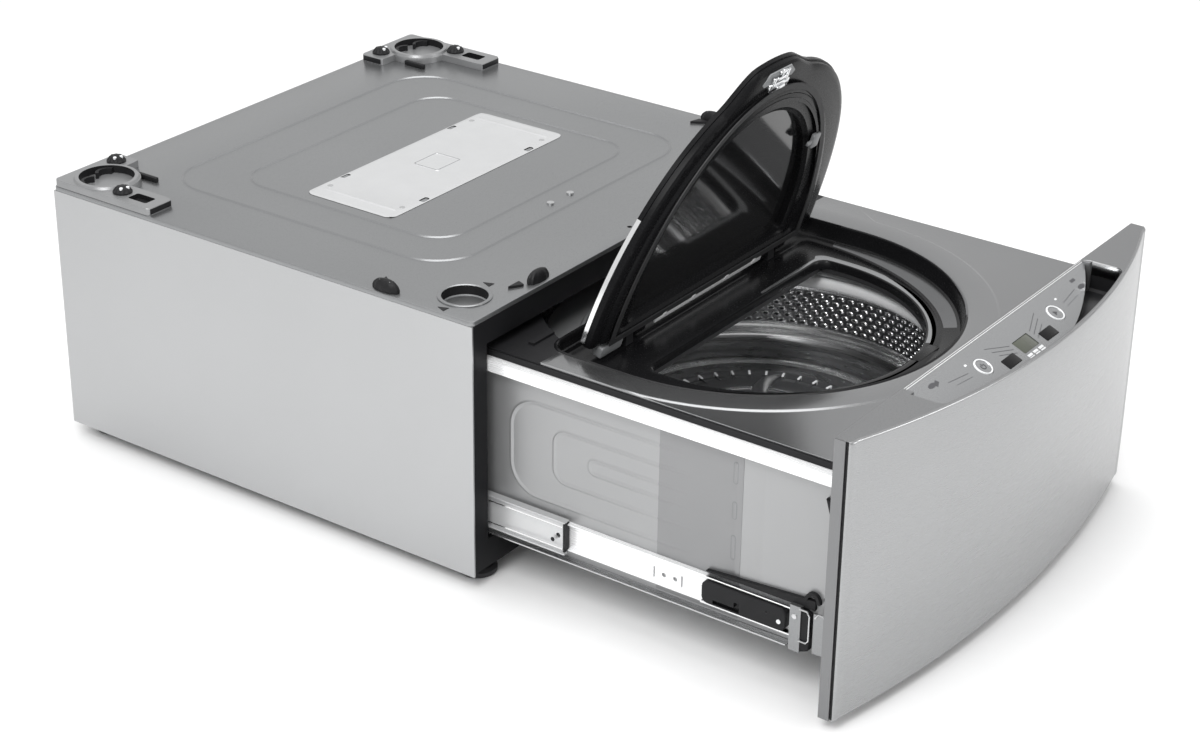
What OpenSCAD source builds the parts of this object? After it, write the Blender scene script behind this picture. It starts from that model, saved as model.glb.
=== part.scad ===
// Pedestal drawer washer: a low cabinet whose drawer carries a vertical-axis
// tub under a hinged lid. Drawer and lid are open in this pose.
// Modules draw in a working frame: x = 0 at the middle, y = 0 at the cabinet's
// front plane (the drawer comes out towards -y), z = 0 at the cabinet's lower
// edge. place() moves that frame to the row frame: origin under the middle of
// the bounding box, +Z up, on the floor.

/* [Cabinet] */
// Width of the cabinet
cab_w = 686; // [640:1:720]
// Depth of the cabinet without the front panel
cab_d = 650; // [620:1:700]
// Height of the cabinet without feet and retainers
cab_h = 324; // [318:1:340]
// Thickness of the cabinet sheets
sheet = 2; // [1.5:0.1:2.5]
// Height of the feet below the cabinet
foot_h = 18; // [14:1:25]
// Height of the retainers above the top plate
retainer_h = 17; // [12:1:20]

/* [Drawer] */
// How far the drawer stands out of the cabinet
drawer_out = 455; // [440:1:460]
// Height of the deck above the cabinet's lower edge
deck_z = 277; // [270:1:279]
// Half width of the deck
deck_half = 301; // [296:1:304]
// Depth of the drawer box behind the cabinet's front plane
drawer_in = 136; // [120:1:150]
// Thickness of the drawer sheets
skin = 1.2; // [1:0.1:1.5]

/* [Front panel] */
// Height of the front panel
panel_h = 334; // [325:1:340]
// Bow of the front skin at its top edge
bow_top = 62; // [50:1:70]
// Bow of the front skin at its bottom edge
bow_bottom = 38; // [30:1:50]

/* [Lid] */
// Angle at which the lid stands open
lid_angle = 72; // [60:1:80]
// Distance of the lid's hinge from the cabinet front
hinge_y = 82; // [78:1:90]
// Height of the hinge axis
hinge_z = 269; // [266:1:272]
// Length of the lid from its hinge
lid_len = 301; // [290:1:305]
// Radius of the hinge pins
pin_r = 4; // [3:0.5:5]

/* [Tub] */
// Distance of the spin axis from the cabinet front
spin_y = 170; // [165:1:180]
// Sideways offset of the tub, seat and lid from the middle
tub_x = -18; // [-25:1:0]
// Radius of the outer tub
tub_r = 250; // [240:1:252]
// Radius of the spin basket
basket_r = 236; // [226:1:238]
// Radius of the pulsator
pulsator_r = 152; // [130:1:165]

/* [Hidden] */
$fn = 96;

hw = cab_w / 2;
panel_gap = 5;                      // between the panel and the closed cabinet
back_t = 13;                        // thickness of the panel's rear pan
seam_t = 5;                         // dark edge of the core between pan and skin
panel_y = -(drawer_out + panel_gap);        // rear face of the front panel
core_y = panel_y - back_t;
skin_y = core_y - seam_t;                   // where the bow starts
panel_z = -5;
panel_top = panel_z + panel_h;
fascia_y = panel_y - 2.5;                   // rear edge of the control fascia
fascia_angle = 23;
rear_fit = 12;                      // fittings behind the rear panel
apex = -skin_y + bow_top;
cab_y0 = (apex - cab_d - rear_fit) / 2;     // cabinet front plane in the row frame
top_sheet_z = cab_h - sheet;
side_h = cab_h - 6;
wall_x = 300;                       // outer face of the drawer sides
pan_z = 46;
wall_top = 254;
rail_flange = 14;                   // width of the white top rails
rail_top = deck_z - 10;
slide_x = 315;                      // outer face of the telescopic slides
frame_inner = 317;                  // half width of the cabinet mouth
lintel_z = 289;                     // lower edge of the mouth's top
sill_z = 3.6;
mouth_floor = 40;                   // top of the base frame
tub_z = 94;
tub_top = 224;
basket_z = 106;
basket_top = 220;
seat_r = 248;                       // radius of the seat's round front
seat_rear = -43;
seat_y = -157;
seat_floor = 254.5;
deck_split = -62;                   // where the grey deck meets the black rear deck
opening_rear = -138;
opening_front = -362;
opening_half = 188;
lid_rear = 6;                       // lid starts this far from the hinge axis
lid_half = 229;
lid_top_t = 11;
lid_under_t = 10;
rod_x = 250;
rod_off = 170;

module place() { translate([0, cab_y0, foot_h]) children(); }
module both() { children(); mirror([1, 0, 0]) children(); }
module box(x0, x1, y0, y1, z0, z1) {
  translate([min(x0, x1), min(y0, y1), min(z0, z1)])
    cube([abs(x1 - x0), abs(y1 - y0), abs(z1 - z0)]);
}
// Rounded rectangle by its corners
module rrect(x0, x1, y0, y1, r) {
  union() {
    translate([x0 + r, y0]) square([x1 - x0 - 2 * r, y1 - y0]);
    translate([x0, y0 + r]) square([x1 - x0, y1 - y0 - 2 * r]);
    for (x = [x0 + r, x1 - r], y = [y0 + r, y1 - r]) translate([x, y]) circle(r);
  }
}
module slab(z0, z1) { translate([0, 0, z0]) linear_extrude(z1 - z0) children(); }
// Outline in the y-z plane, extruded along x from x0 to x1
module side_slab(x0, x1) {
  translate([x0, 0, 0]) rotate([90, 0, 90]) linear_extrude(x1 - x0) children();
}
module tube(r1, r0, z0, z1) {
  translate([0, 0, z0]) difference() {
    cylinder(r = r1, h = z1 - z0);
    translate([0, 0, -1]) cylinder(r = r0, h = z1 - z0 + 2);
  }
}
// Seat of the lid: round in front, squared off behind; grow makes it larger
module seat_outline(grow = 0) {
  r = seat_r + grow;
  c = 28;
  union() {
    translate([tub_x, seat_y]) circle(r);
    translate([tub_x - r, seat_y]) square([2 * r, seat_rear + grow - seat_y - c]);
    translate([tub_x - r + c, seat_y]) square([2 * r - 2 * c, seat_rear + grow - seat_y]);
    for (x = [tub_x - r + c, tub_x + r - c]) translate([x, seat_rear + grow - c]) circle(c);
  }
}
// Half ellipse that bulges towards -y from the line y = yc, squared off to yr
function oval_points(a, b, n) = [for (i = [0:n]) [-a * cos(180 * i / n), -b * sin(180 * i / n)]];
module half_oval(a, b, yc, yr) {
  translate([0, yc]) polygon(concat(oval_points(a, b, 56), [[a, yr - yc], [-a, yr - yc]]));
}
// D-shaped opening over the basket
module opening_outline(grow = 0) {
  translate([tub_x, 0]) half_oval(opening_half + grow, opening_rear - opening_front - 30 + grow,
    opening_rear - 30, opening_rear + grow);
}
// Lid outline in its own plane: y from the hinge axis towards the free end
module lid_outline(grow = 0) {
  half_oval(lid_half + grow, lid_len - 16 + grow, -16, -lid_rear + grow);
}
// Tab at the lid's free end
module tab_outline(grow = 0) {
  rrect(-46 - grow, 46 + grow, -lid_len - 21 - grow, -lid_len + 30, 20);
}
// Seat with the tab's recess in its front wall
module seat_plan(grow = 0) {
  union() {
    seat_outline(grow);
    translate([tub_x, -hinge_y]) tab_outline(grow + 4);
  }
}
// Puts the closed lid's shapes, drawn about the hinge axis, at the open angle
module lid_place() {
  translate([tub_x, -hinge_y, hinge_z]) rotate([-lid_angle, 0, 0]) children();
}
// Bowed plan of the front panel: flat at y0, bowing out by sag over its width
module bow_plan(sag, half, y0) {
  r = (half * half + sag * sag) / (2 * sag);
  translate([0, y0]) intersection() {
    translate([0, r - sag]) circle(r, $fn = 240);
    translate([-half, -sag - 1]) square([2 * half, sag + 1.01]);
  }
}
// Whole bow between two heights, with the front leaning out towards the top
module bow_solid(inset, half) {
  hull() {
    slab(panel_z + inset, panel_z + inset + 0.5) bow_plan(bow_bottom - inset, half, skin_y);
    slab(panel_top - inset - 0.5, panel_top - inset) bow_plan(bow_top - inset, half, skin_y);
  }
}

// ---- cabinet ----
module cabinet_side() {
  union() {
    box(-hw, -hw + sheet, 0, cab_d, 0, side_h);
    box(-hw + sheet, -hw + 20, 4, cab_d - 4, 0, sheet);
    box(-hw + sheet, -hw + 18, 4, cab_d - 4, side_h - sheet, side_h);
    box(-hw + sheet, -hw + 14, cab_d - sheet, cab_d, sheet, side_h - sheet);
  }
}
module cabinet_side_left() { color([0.80, 0.81, 0.82]) place() cabinet_side(); }
module cabinet_side_right() {
  color([0.80, 0.81, 0.82]) place() mirror([1, 0, 0]) cabinet_side();
}
module bead_ring(x0, x1, y0, y1, r, w) {
  difference() {
    rrect(x0, x1, y0, y1, r);
    rrect(x0 + w, x1 - w, y0 + w, y1 - w, r - w);
  }
}
module top_plate() {
  color([0.66, 0.66, 0.67]) place() difference() {
    union() {
      slab(top_sheet_z, cab_h) rrect(-hw, hw, 0, cab_d, 4);
      slab(side_h + 0.2, top_sheet_z) bead_ring(-hw, hw, 0, cab_d, 4, sheet);
      slab(cab_h, cab_h + 1.2) bead_ring(-250, 250, 110, 560, 60, 5);
      slab(cab_h, cab_h + 1.2) bead_ring(-194, 194, 158, 490, 45, 5);
    }
    for (x = [-20, 20]) translate([x, 133, top_sheet_z - 1]) cylinder(r = 2.6, h = 8);
    translate([-20, 16, top_sheet_z - 1]) cylinder(r = 3, h = 8);
    for (x = [-292, 292]) translate([x, 50, top_sheet_z - 1]) cylinder(r = 29, h = 8);
  }
}
module access_plate() {
  color([0.9, 0.9, 0.9]) place() difference() {
    union() {
      slab(cab_h, cab_h + 1.2) difference() {
        rrect(-174, 174, 255, 391, 14);
        for (x = [-110, 100], y = [251, 385]) translate([x, y]) square([14, 10]);
      }
      slab(cab_h + 1.2, cab_h + 2) bead_ring(-24, 24, 305, 345, 4, 3);
    }
    for (x = [-140, 140], y = [266, 380])
      translate([x, y, cab_h - 1]) cylinder(r = 2.2, h = 5);
  }
}
// Hat-section beams under the top and box beams that carry the slides
module cabinet_beams() {
  hat_w = 60;
  hat_h = 26;
  color([0.55, 0.56, 0.58]) place() union() {
    for (y = [120, 325, 560]) difference() {
      box(-hw + 20, hw - 20, y - hat_w / 2, y + hat_w / 2, top_sheet_z - hat_h, top_sheet_z);
      box(-hw, hw, y - hat_w / 2 + 2, y + hat_w / 2 - 2, top_sheet_z - hat_h + 2, cab_h);
    }
    both() difference() {
      box(-hw + sheet, -slide_x - 1.2, 12, 610, 50, 98);
      box(-hw + sheet + 2, -slide_x - 3.2, 10, 620, 52, 96);
    }
  }
}
module rear_panel() {
  color([0.6, 0.61, 0.62]) place() difference() {
    union() {
      box(-hw + sheet, hw - sheet, cab_d - sheet - 2, cab_d - sheet, 2.2, side_h - 0.2);
      for (z = [70, 130]) box(-220, 60, cab_d - 5, cab_d - 3.9, z, z + 8);
    }
    for (x = [-250, -205]) translate([x, cab_d + 1, 262]) rotate([90, 0, 0])
      cylinder(r = 16.2, h = 10);
    translate([250, cab_d + 1, 60]) rotate([90, 0, 0]) cylinder(r = 19.7, h = 10);
    translate([120, cab_d + 1, 262]) rotate([90, 0, 0]) cylinder(r = 9, h = 10);
  }
}
module base_frame() {
  color([0.22, 0.22, 0.23]) place() difference() {
    box(-hw + 20.2, hw - 20.2, 4, cab_d - 6, 2.2, mouth_floor);
    box(-hw + 62, hw - 62, 46, cab_d - 48, 0, mouth_floor + 1);
    difference() {
      box(-hw + 23.2, hw - 23.2, 7, cab_d - 9, 0, mouth_floor - 3);
      box(-hw + 59, hw - 59, 43, cab_d - 45, -1, mouth_floor);
      for (x = [-1, 1], y = [28, cab_d - 28])
        translate([x * (hw - 42), y, 0]) cylinder(r = 12, h = mouth_floor);
    }
    for (x = [-1, 1], y = [28, cab_d - 28])
      translate([x * (hw - 42), y, -1]) cylinder(r = 5.05, h = mouth_floor - 4);
  }
}
module front_frame() {
  color([0.16, 0.16, 0.17]) place() difference() {
    union() {
      box(-hw + sheet, hw - sheet, 0, 1.5, sill_z, side_h);
      box(-hw + 18.2, hw - 18.2, 1.5, 24, lintel_z, lintel_z + 1.5);
    }
    box(-frame_inner, frame_inner, -1, 4, mouth_floor + 0.2, lintel_z);
  }
}
module outer_rails() {
  color([0.82, 0.83, 0.85]) place() both() union() {
    box(-slide_x, -313.6, 56, 600, 50, 98);
    box(-313.6, -309, 56, 600, 96.6, 98);
    box(-313.6, -309, 56, 600, 50, 51.4);
  }
}
module middle_rails() {
  color([0.88, 0.89, 0.9]) place() both() difference() {
    union() {
      box(-309.2, -307.8, -105, 330, 53, 95);
      for (z = [53, 93.6]) box(-313, -303.4, -105, 330, z, z + 1.4);
    }
    translate([-320, -94, 74]) rotate([0, 90, 0]) cylinder(r = 3, h = 20);
  }
}
module foot_at() {
  for (x = [-1, 1], y = [28, cab_d - 28]) translate([x * (hw - 42), y, 0]) children();
}
module foot_pads() {
  color([0.1, 0.1, 0.1]) place() foot_at() translate([0, 0, -foot_h]) difference() {
    rotate_extrude() polygon([[0, 0], [21, 0], [23, 2], [23, 7], [19, 10], [0, 10]]);
    translate([0, 0, 6]) cylinder(r = 9, h = 5);
  }
}
module foot_screws() {
  color([0.75, 0.76, 0.78]) place() foot_at() union() {
    translate([0, 0, -foot_h + 6]) cylinder(r = 8.8, h = 4);
    translate([0, 0, -foot_h + 9]) cylinder(r = 5, h = mouth_floor);
    translate([0, 0, -6]) cylinder(r = 10, h = 6, $fn = 6);
  }
}
// Cups and hooks that hold the feet of the machine standing on top
module rear_retainer() {
  difference() {
    union() {
      slab(cab_h, cab_h + retainer_h - 8) union() {
        rrect(-hw + 1, -hw + 42, 490, 648, 5);
        rrect(-hw + 1, -hw + 108, 610, 648, 5);
        translate([-hw + 42, 600]) circle(41);
      }
      slab(cab_h + retainer_h - 8, cab_h + retainer_h - 5) difference() {
        translate([-hw + 42, 600]) circle(41);
        translate([-hw + 42, 600]) circle(34);
      }
    }
    translate([-hw + 42, 600, cab_h + 2]) cylinder(r = 34, h = 20);
    box(-hw + 12, -hw + 30, 505, 535, cab_h + 3, cab_h + 20);
  }
}
module knob() {
  rotate_extrude() polygon([[0, 0], [11, 0], [11, 3], [8, 7], [4, 8], [0, 8]]);
}
module rear_retainers() {
  color([0.5, 0.5, 0.51]) place() both() union() {
    rear_retainer();
    translate([-hw + 88, 630, cab_h + retainer_h - 8]) knob();
    translate([-hw + 21, 552, cab_h + retainer_h - 8]) knob();
  }
}
module front_retainers() {
  color([0.3, 0.3, 0.31]) place() both() union() {
    difference() {
      translate([-292, 50, cab_h - 14]) cylinder(r = 28.5, h = 14);
      translate([-292, 50, cab_h - 12]) cylinder(r = 26.5, h = 20);
    }
    difference() {
      translate([-292, 50, cab_h]) cylinder(r = 31.5, h = 2);
      translate([-292, 50, cab_h - 1]) cylinder(r = 26.5, h = 20);
    }
    box(-hw + 2, -hw + 16, 112, 148, cab_h, cab_h + 5);
    side_slab(-hw + 4, -hw + 14)
      polygon([[116, cab_h + 5], [144, cab_h + 5], [134, cab_h + 14], [122, cab_h + 14]]);
    box(-226, -190, 4, 18, cab_h, cab_h + 5);
    translate([-216, 11, cab_h + 5]) cylinder(r = 6, h = 7);
    translate([-201, 11, cab_h + 5]) cylinder(r = 6, h = 7);
  }
}
module screw(r, h) {
  union() {
    cylinder(r = r, h = h * 0.4);
    rotate([180, 0, 0]) cylinder(r = r * 0.5, h = h);
  }
}
module cabinet_screws() {
  color([0.85, 0.86, 0.88]) place() union() {
    for (x = [-20, 20]) translate([x, 133, cab_h]) screw(4.6, 5);
    for (x = [-140, 140], y = [266, 380]) translate([x, y, cab_h + 1.2]) screw(3.6, 1);
    for (x = [-1, 1], z = [30, 150, 290]) translate([x * (hw - 8), cab_d, z])
      rotate([-90, 0, 0]) cylinder(r = 4, h = 2);
  }
}
module water_inlets() {
  color([0.85, 0.85, 0.82]) place() union() {
    for (x = [-250, -205]) translate([x, 0, 262]) rotate([-90, 0, 0])
      translate([0, 0, cab_d - 30]) difference() {
        union() {
          cylinder(r = 13, h = 30 + rear_fit);
          cylinder(r = 16, h = 30);
          cylinder(r = 18, h = 24);
        }
        translate([0, 0, 12]) cylinder(r = 9.5, h = 60);
      }
    box(-262, -193, cab_d - 48, cab_d - 31, 246, 280);
  }
}
module drain_outlet() {
  color([0.2, 0.2, 0.21]) place() union() {
    translate([250, cab_d - 40, 60]) rotate([-90, 0, 0]) difference() {
      union() {
        cylinder(r = 16, h = 40 + rear_fit);
        cylinder(r = 19.5, h = 40);
      }
      translate([0, 0, -1]) cylinder(r = 12, h = 60);
    }
    translate([120, cab_d - 12, 262]) rotate([-90, 0, 0]) difference() {
      union() {
        cylinder(r = 8.8, h = 18);
        cylinder(r = 13, h = 7.8);
      }
      translate([0, 0, -1]) cylinder(r = 5, h = 30);
    }
  }
}

// ---- drawer ----
module stamped_side() {
  front = panel_y + 1;
  difference() {
    union() {
      box(-wall_x, -wall_x + skin, front, drawer_in - skin, pan_z, wall_top);
      box(-wall_x, -wall_x - 0.8, front, -330, 100, wall_top);
      side_slab(-wall_x - 1.2, -wall_x) union() {
        bead_ring(-309, -20, 106, 227, 38, 4);
        bead_ring(-290, -80, 135, 202, 18, 4);
        bead_ring(-270, -128, 160, 180, 9, 4);
      }
    }
    for (z = [118, 170, 212]) box(-wall_x - 3, -wall_x + 3, -322, -319.5, z, z + 24);
  }
}
module drawer_side_left() { color([0.62, 0.63, 0.65]) place() stamped_side(); }
module drawer_side_right() {
  color([0.62, 0.63, 0.65]) place() mirror([1, 0, 0]) stamped_side();
}
module drawer_pan() {
  inner = wall_x - skin;
  color([0.58, 0.59, 0.6]) place() difference() {
    union() {
      box(-inner, inner, panel_y + 1, drawer_in - skin, pan_z, pan_z + 1.5);
      box(-wall_x, wall_x, drawer_in - skin, drawer_in, pan_z, wall_top);
      box(-inner, inner, panel_y + 1, panel_y + 2.2, pan_z + 1.5, wall_top);
      both() box(-wall_x - 12, -wall_x, panel_y + 62, drawer_in - 10, pan_z - 1.5, pan_z);
      for (y = [-330, -90, 60]) box(-240, 240, y, y + 12, pan_z - 4, pan_z);
    }
    translate([200, 60, pan_z - 5]) cylinder(r = 12, h = 10);
  }
}
module top_rails() {
  color([0.93, 0.93, 0.93]) place() both() union() {
    box(-wall_x - rail_flange, -wall_x - rail_flange + 1.5, panel_y + 0.5, drawer_in,
      wall_top, rail_top);
    box(-wall_x - rail_flange, -wall_x + 3, panel_y + 0.5, drawer_in, rail_top - 1.5, rail_top);
    box(-wall_x - rail_flange, -wall_x + skin, panel_y + 0.5, drawer_in,
      wall_top, wall_top + 1.5);
  }
}
module deck_panel() {
  color([0.68, 0.69, 0.7]) place() difference() {
    union() {
      slab(deck_z - 2.5, deck_z) translate([-deck_half, panel_y + 0.4])
        square([2 * deck_half, deck_split - panel_y - 0.6]);
      slab(deck_z, deck_z + 1.5) intersection() {
        seat_outline(36);
        translate([-deck_half, panel_y + 10]) square([2 * deck_half, deck_split - panel_y - 10.3]);
      }
      for (x = [-1, 1]) box(x * (deck_half - 2), x * (deck_half - 4), panel_y + 4,
        deck_split - 4, deck_z - 9.8, deck_z - 2.5);
    }
    translate([0, 0, -1]) slab(deck_z - 5, deck_z + 5) seat_plan(0.3);
  }
}
module deck_trims() {
  color([0.08, 0.08, 0.08]) place() both()
    box(-deck_half - 1.5, -deck_half + 1.7, panel_y + 0.5, drawer_in, rail_top, deck_z - 2.6);
}
module rear_deck() {
  color([0.1, 0.1, 0.11]) place() difference() {
    union() {
      box(-deck_half, deck_half, deck_split + 0.3, drawer_in, deck_z - 2.5, deck_z);
      for (x = [-1, 1]) box(x * (deck_half - 2), x * (deck_half - 4), deck_split + 4,
        drawer_in - 4, deck_z - 9.8, deck_z - 2.5);
      box(-270, 240, -30, -22, deck_z, deck_z + 3);
    }
    translate([0, 0, -1]) slab(deck_z - 5, deck_z + 5) seat_plan(0.3);
  }
}
module lid_seat() {
  color([0.12, 0.12, 0.13]) place() difference() {
    union() {
      slab(seat_floor, deck_z + 1.5) difference() {
        seat_plan(0);
        seat_plan(-2.5);
      }
      slab(seat_floor, seat_floor + 2.5) seat_plan(0);
      slab(seat_floor - 8, seat_floor + 1) difference() {
        opening_outline(4);
        opening_outline(0);
      }
    }
    translate([0, 0, -2]) slab(seat_floor, seat_floor + 6) opening_outline(0);
    box(tub_x - 12, tub_x + 12, -380, -367, seat_floor - 1, seat_floor + 4);
  }
}
module opening_seal() {
  color([0.07, 0.07, 0.07]) place() slab(seat_floor - 14, seat_floor - 8.2) difference() {
    opening_outline(4);
    opening_outline(0);
  }
}
module hinge_ear(x) {
  translate([x, -hinge_y, 0]) difference() {
    union() {
      box(-7, 7, -7, 14, seat_floor + 2.5, hinge_z);
      translate([-7, 0, hinge_z]) rotate([0, 90, 0]) cylinder(r = 7, h = 14);
    }
    translate([-10, 0, hinge_z]) rotate([0, 90, 0]) cylinder(r = pin_r + 0.05, h = 20);
  }
}
module hinge_brackets() {
  color([0.14, 0.14, 0.15]) place() union() {
    hinge_ear(tub_x - 150);
    hinge_ear(tub_x + 150);
  }
}
module lid_lock() {
  color([0.09, 0.09, 0.1]) place() difference() {
    box(tub_x - 22, tub_x + 22, -384, -366.5, seat_floor - 11, seat_floor - 0.2);
    box(tub_x - 12, tub_x + 12, -380, -368, seat_floor - 9, seat_floor + 1);
  }
}
module inner_rails() {
  color([0.93, 0.94, 0.95]) place() both() difference() {
    union() {
      box(-301.7, -wall_x - 0.3, -400, 40, 57, 91);
      for (z = [57, 89.6]) box(-307, -301.7, -400, 40, z, z + 1.4);
    }
    for (y = [-233, -248]) translate([-310, y, 68]) rotate([0, 90, 0]) cylinder(r = 2.8, h = 20);
    for (y = [-220, -257]) box(-305, -298, y - 1, y + 1, 61, 75);
  }
}
module soft_close_units() {
  color([0.06, 0.06, 0.07]) place() both() difference() {
    side_slab(-312, -301.9) hull() {
      for (y = [-388, -297], z = [68, 80]) translate([y, z]) circle(8, $fn = 32);
    }
    box(-320, -309, -338, -300, 62, 74);
    translate([-320, -388, 71]) rotate([0, 90, 0]) cylinder(r = 3, h = 12);
  }
}
module rail_end_brackets() {
  both() {
    color([0.7, 0.71, 0.72]) place() difference() {
      box(-316, -wall_x - 1.4, -418, -400.5, 41, 97);
      box(-318, -305, -416, -409, 43, 93);
    }
    color([0.07, 0.07, 0.08]) place() side_slab(-312, -wall_x - 1.4) difference() {
      union() {
        translate([-436, 48]) square([17.5, 50]);
        translate([-459.5, 62]) square([24, 52]);
        intersection() {
          translate([-459.5, 110]) circle(30);
          translate([-459.5, 90]) square([30, 60]);
        }
      }
      translate([-452, 108]) circle(7);
    }
  }
}
module panel_back() {
  color([0.9, 0.9, 0.9]) place() difference() {
    slab(panel_z, panel_top - 0.4) translate([-hw, core_y]) square([2 * hw, back_t]);
    box(-hw + 3, hw - 3, core_y - 1, panel_y - 2, panel_z + 3, panel_top - 50);
    box(-205, 205, core_y - 1, panel_y - 2, panel_top - 51, panel_top + 1);
  }
}
module panel_core() {
  color([0.13, 0.13, 0.14]) place() difference() {
    union() {
      box(-hw + 0.6, hw - 0.6, skin_y, core_y - 0.2, panel_z + 0.6, panel_top - 0.6);
      bow_solid(1.6, hw - 1.6);
    }
    difference() {
      bow_solid(5, hw - 8);
      box(-222, 222, -600, -400, panel_top - 46, panel_top);
    }
    box(-hw + 8, hw - 8, skin_y - 1, core_y + 1, panel_z + 8, panel_top - 46.2);
    slab(panel_top - 40.2, panel_top + 1) intersection() {
      bow_plan(bow_top - 4.3, hw, skin_y);
      translate([-213, skin_y - 80]) square([426, 90]);
    }
    box(-213, 213, skin_y - 1, core_y + 1, panel_top - 40.2, panel_top + 1);
  }
}
module front_skin() {
  color([0.78, 0.79, 0.8]) place() difference() {
    bow_solid(0, hw);
    bow_solid(1.2, hw - 1.2);
    box(-hw + 1.2, hw - 1.2, skin_y - 1, skin_y + 5, panel_z + 1.2, panel_top + 1);
    slab(panel_top - 2, panel_top + 1) intersection() {
      bow_plan(bow_top - 3.5, hw, skin_y);
      translate([-213, skin_y - 80]) square([426, 90]);
    }
  }
}
module pocket_plan(gap) {
  intersection() {
    bow_plan(bow_top - 4.5 - gap, hw, skin_y);
    translate([-212.8 + gap, skin_y - 80]) square([425.6 - 2 * gap, 90]);
  }
}
module fascia_plan(gap) {
  intersection() {
    bow_plan(57 + gap, 207 + gap, fascia_y);
    translate([-199 - gap, skin_y - 80]) square([398 + 2 * gap, 100]);
  }
}
module handle_pocket() {
  color([0.09, 0.09, 0.1]) place() difference() {
    slab(panel_top - 40, panel_top - 1.4) pocket_plan(0);
    slab(panel_top - 38, panel_top + 1) pocket_plan(2);
    slab(panel_top - 60, panel_top) fascia_plan(0.3);
  }
}
// Tilted frame of the fascia: y runs down its slope from the rear edge
module fascia_tilt() {
  translate([0, fascia_y, panel_top - 1.2]) rotate([fascia_angle, 0, 0]) children();
}
module control_fascia() {
  color([0.6, 0.61, 0.62]) place() difference() {
    intersection() {
      slab(panel_top - 45, panel_top - 1.2) fascia_plan(-0.3);
      fascia_tilt() box(-220, 220, -90, 10, -3, 0);
    }
    fascia_tilt() {
      for (x = [-85, 85]) translate([x, -31, -10]) cylinder(r = 12.2, h = 20);
      for (x = [-1, 1]) box(x * 30, x * 58, -52, -38, -10, 10);
      box(-17, 17, -48, -29, -10, 10);
    }
  }
}
module display_window() {
  color([0.2, 0.22, 0.18]) place() fascia_tilt() box(-16.8, 16.8, -47.8, -29.2, -2.6, -0.3);
}
module control_board() {
  color([0.1, 0.35, 0.2]) place() fascia_tilt() box(-110, 110, -50, -22, -12, -10.4);
}
module button_cap(r) {
  rotate_extrude() polygon([[0, -6], [r, -6], [r, -0.5], [r - 1.2, 0.8], [r - 2.4, 0.8],
    [r - 3.6, -0.2], [0, -0.2]]);
}
module power_button() {
  color([0.72, 0.73, 0.74]) place() fascia_tilt() translate([-85, -31, 0]) button_cap(11.9);
}
module start_button() {
  color([0.72, 0.73, 0.74]) place() fascia_tilt() translate([85, -31, 0]) button_cap(11.9);
}
module cycle_key() {
  color([0.2, 0.2, 0.22]) place() fascia_tilt() box(-57.7, -30.3, -51.7, -38.3, -6, 0.5);
}
module temp_key() {
  color([0.2, 0.2, 0.22]) place() fascia_tilt() box(30.3, 57.7, -51.7, -38.3, -6, 0.5);
}
module rod_at() {
  for (x = [-1, 1], y = [-1, 1])
    translate([tub_x + x * rod_x, -spin_y + y * rod_off, 0]) children();
}
// Rods that hang from wall brackets and carry the tub on their lower ends
module suspension_rods() {
  inner = wall_x - skin - 0.2;
  color([0.7, 0.71, 0.73]) place() union() {
    rod_at() union() {
      translate([0, 0, 58]) cylinder(r = 3, h = 184);
      translate([0, 0, 58]) cylinder(r = 13, h = 3);
    }
    for (y = [-spin_y - rod_off, -spin_y + rod_off]) {
      box(-inner, tub_x - rod_x + 16, y - 14, y + 14, 238, 243);
      box(inner, tub_x + rod_x - 16, y - 14, y + 14, 238, 243);
    }
  }
}
// Springs round the lower ends of the rods, drawn as a helix of round wire
spring_r = 10;
wire_r = 1.6;
turns = 4;
steps = 9;
sides = 5;
function helix(i, z0, z1) = let(a = 360 * i / steps)
  [spring_r * cos(a), spring_r * sin(a), z0 + (z1 - z0) * i / (turns * steps)];
module spring(z0, z1) {
  n = turns * steps;
  ring = [for (i = [0:n]) let(a = 360 * i / steps, c = helix(i, z0, z1)) for (k = [0:sides - 1])
    let(b = 360 * k / sides) [c[0] + wire_r * cos(b) * cos(a), c[1] + wire_r * cos(b) * sin(a),
      c[2] + wire_r * sin(b)]];
  walls = [for (i = [0:n - 1], k = [0:sides - 1], h = [0, 1]) h == 0
    ? [i * sides + k, i * sides + (k + 1) % sides, (i + 1) * sides + (k + 1) % sides]
    : [i * sides + k, (i + 1) * sides + (k + 1) % sides, (i + 1) * sides + k]];
  cap0 = [[for (k = [sides - 1:-1:0]) k]];
  cap1 = [[for (k = [0:sides - 1]) n * sides + k]];
  polyhedron(ring, concat(walls, cap0, cap1), convexity = 8);
}
module suspension_springs() {
  color([0.5, 0.5, 0.52]) place() rod_at() spring(62.8, 96.4);
}
module drain_pump() {
  color([0.85, 0.85, 0.83]) place() union() {
    translate([200, 105, pan_z + 2]) cylinder(r = 24, h = 44);
    translate([200, 105, pan_z + 46]) cylinder(r = 16, h = 22);
    translate([176, 105, pan_z + 24]) rotate([0, -90, 0]) cylinder(r = 9, h = 34);
  }
}
module controller_box() {
  color([0.2, 0.2, 0.21]) place() union() {
    box(-240, -60, 88, 130, pan_z + 1.5, pan_z + 90);
    for (x = [-220, -180, -140, -100]) box(x, x + 24, 84, 88, pan_z + 60, pan_z + 78);
  }
}

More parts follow.
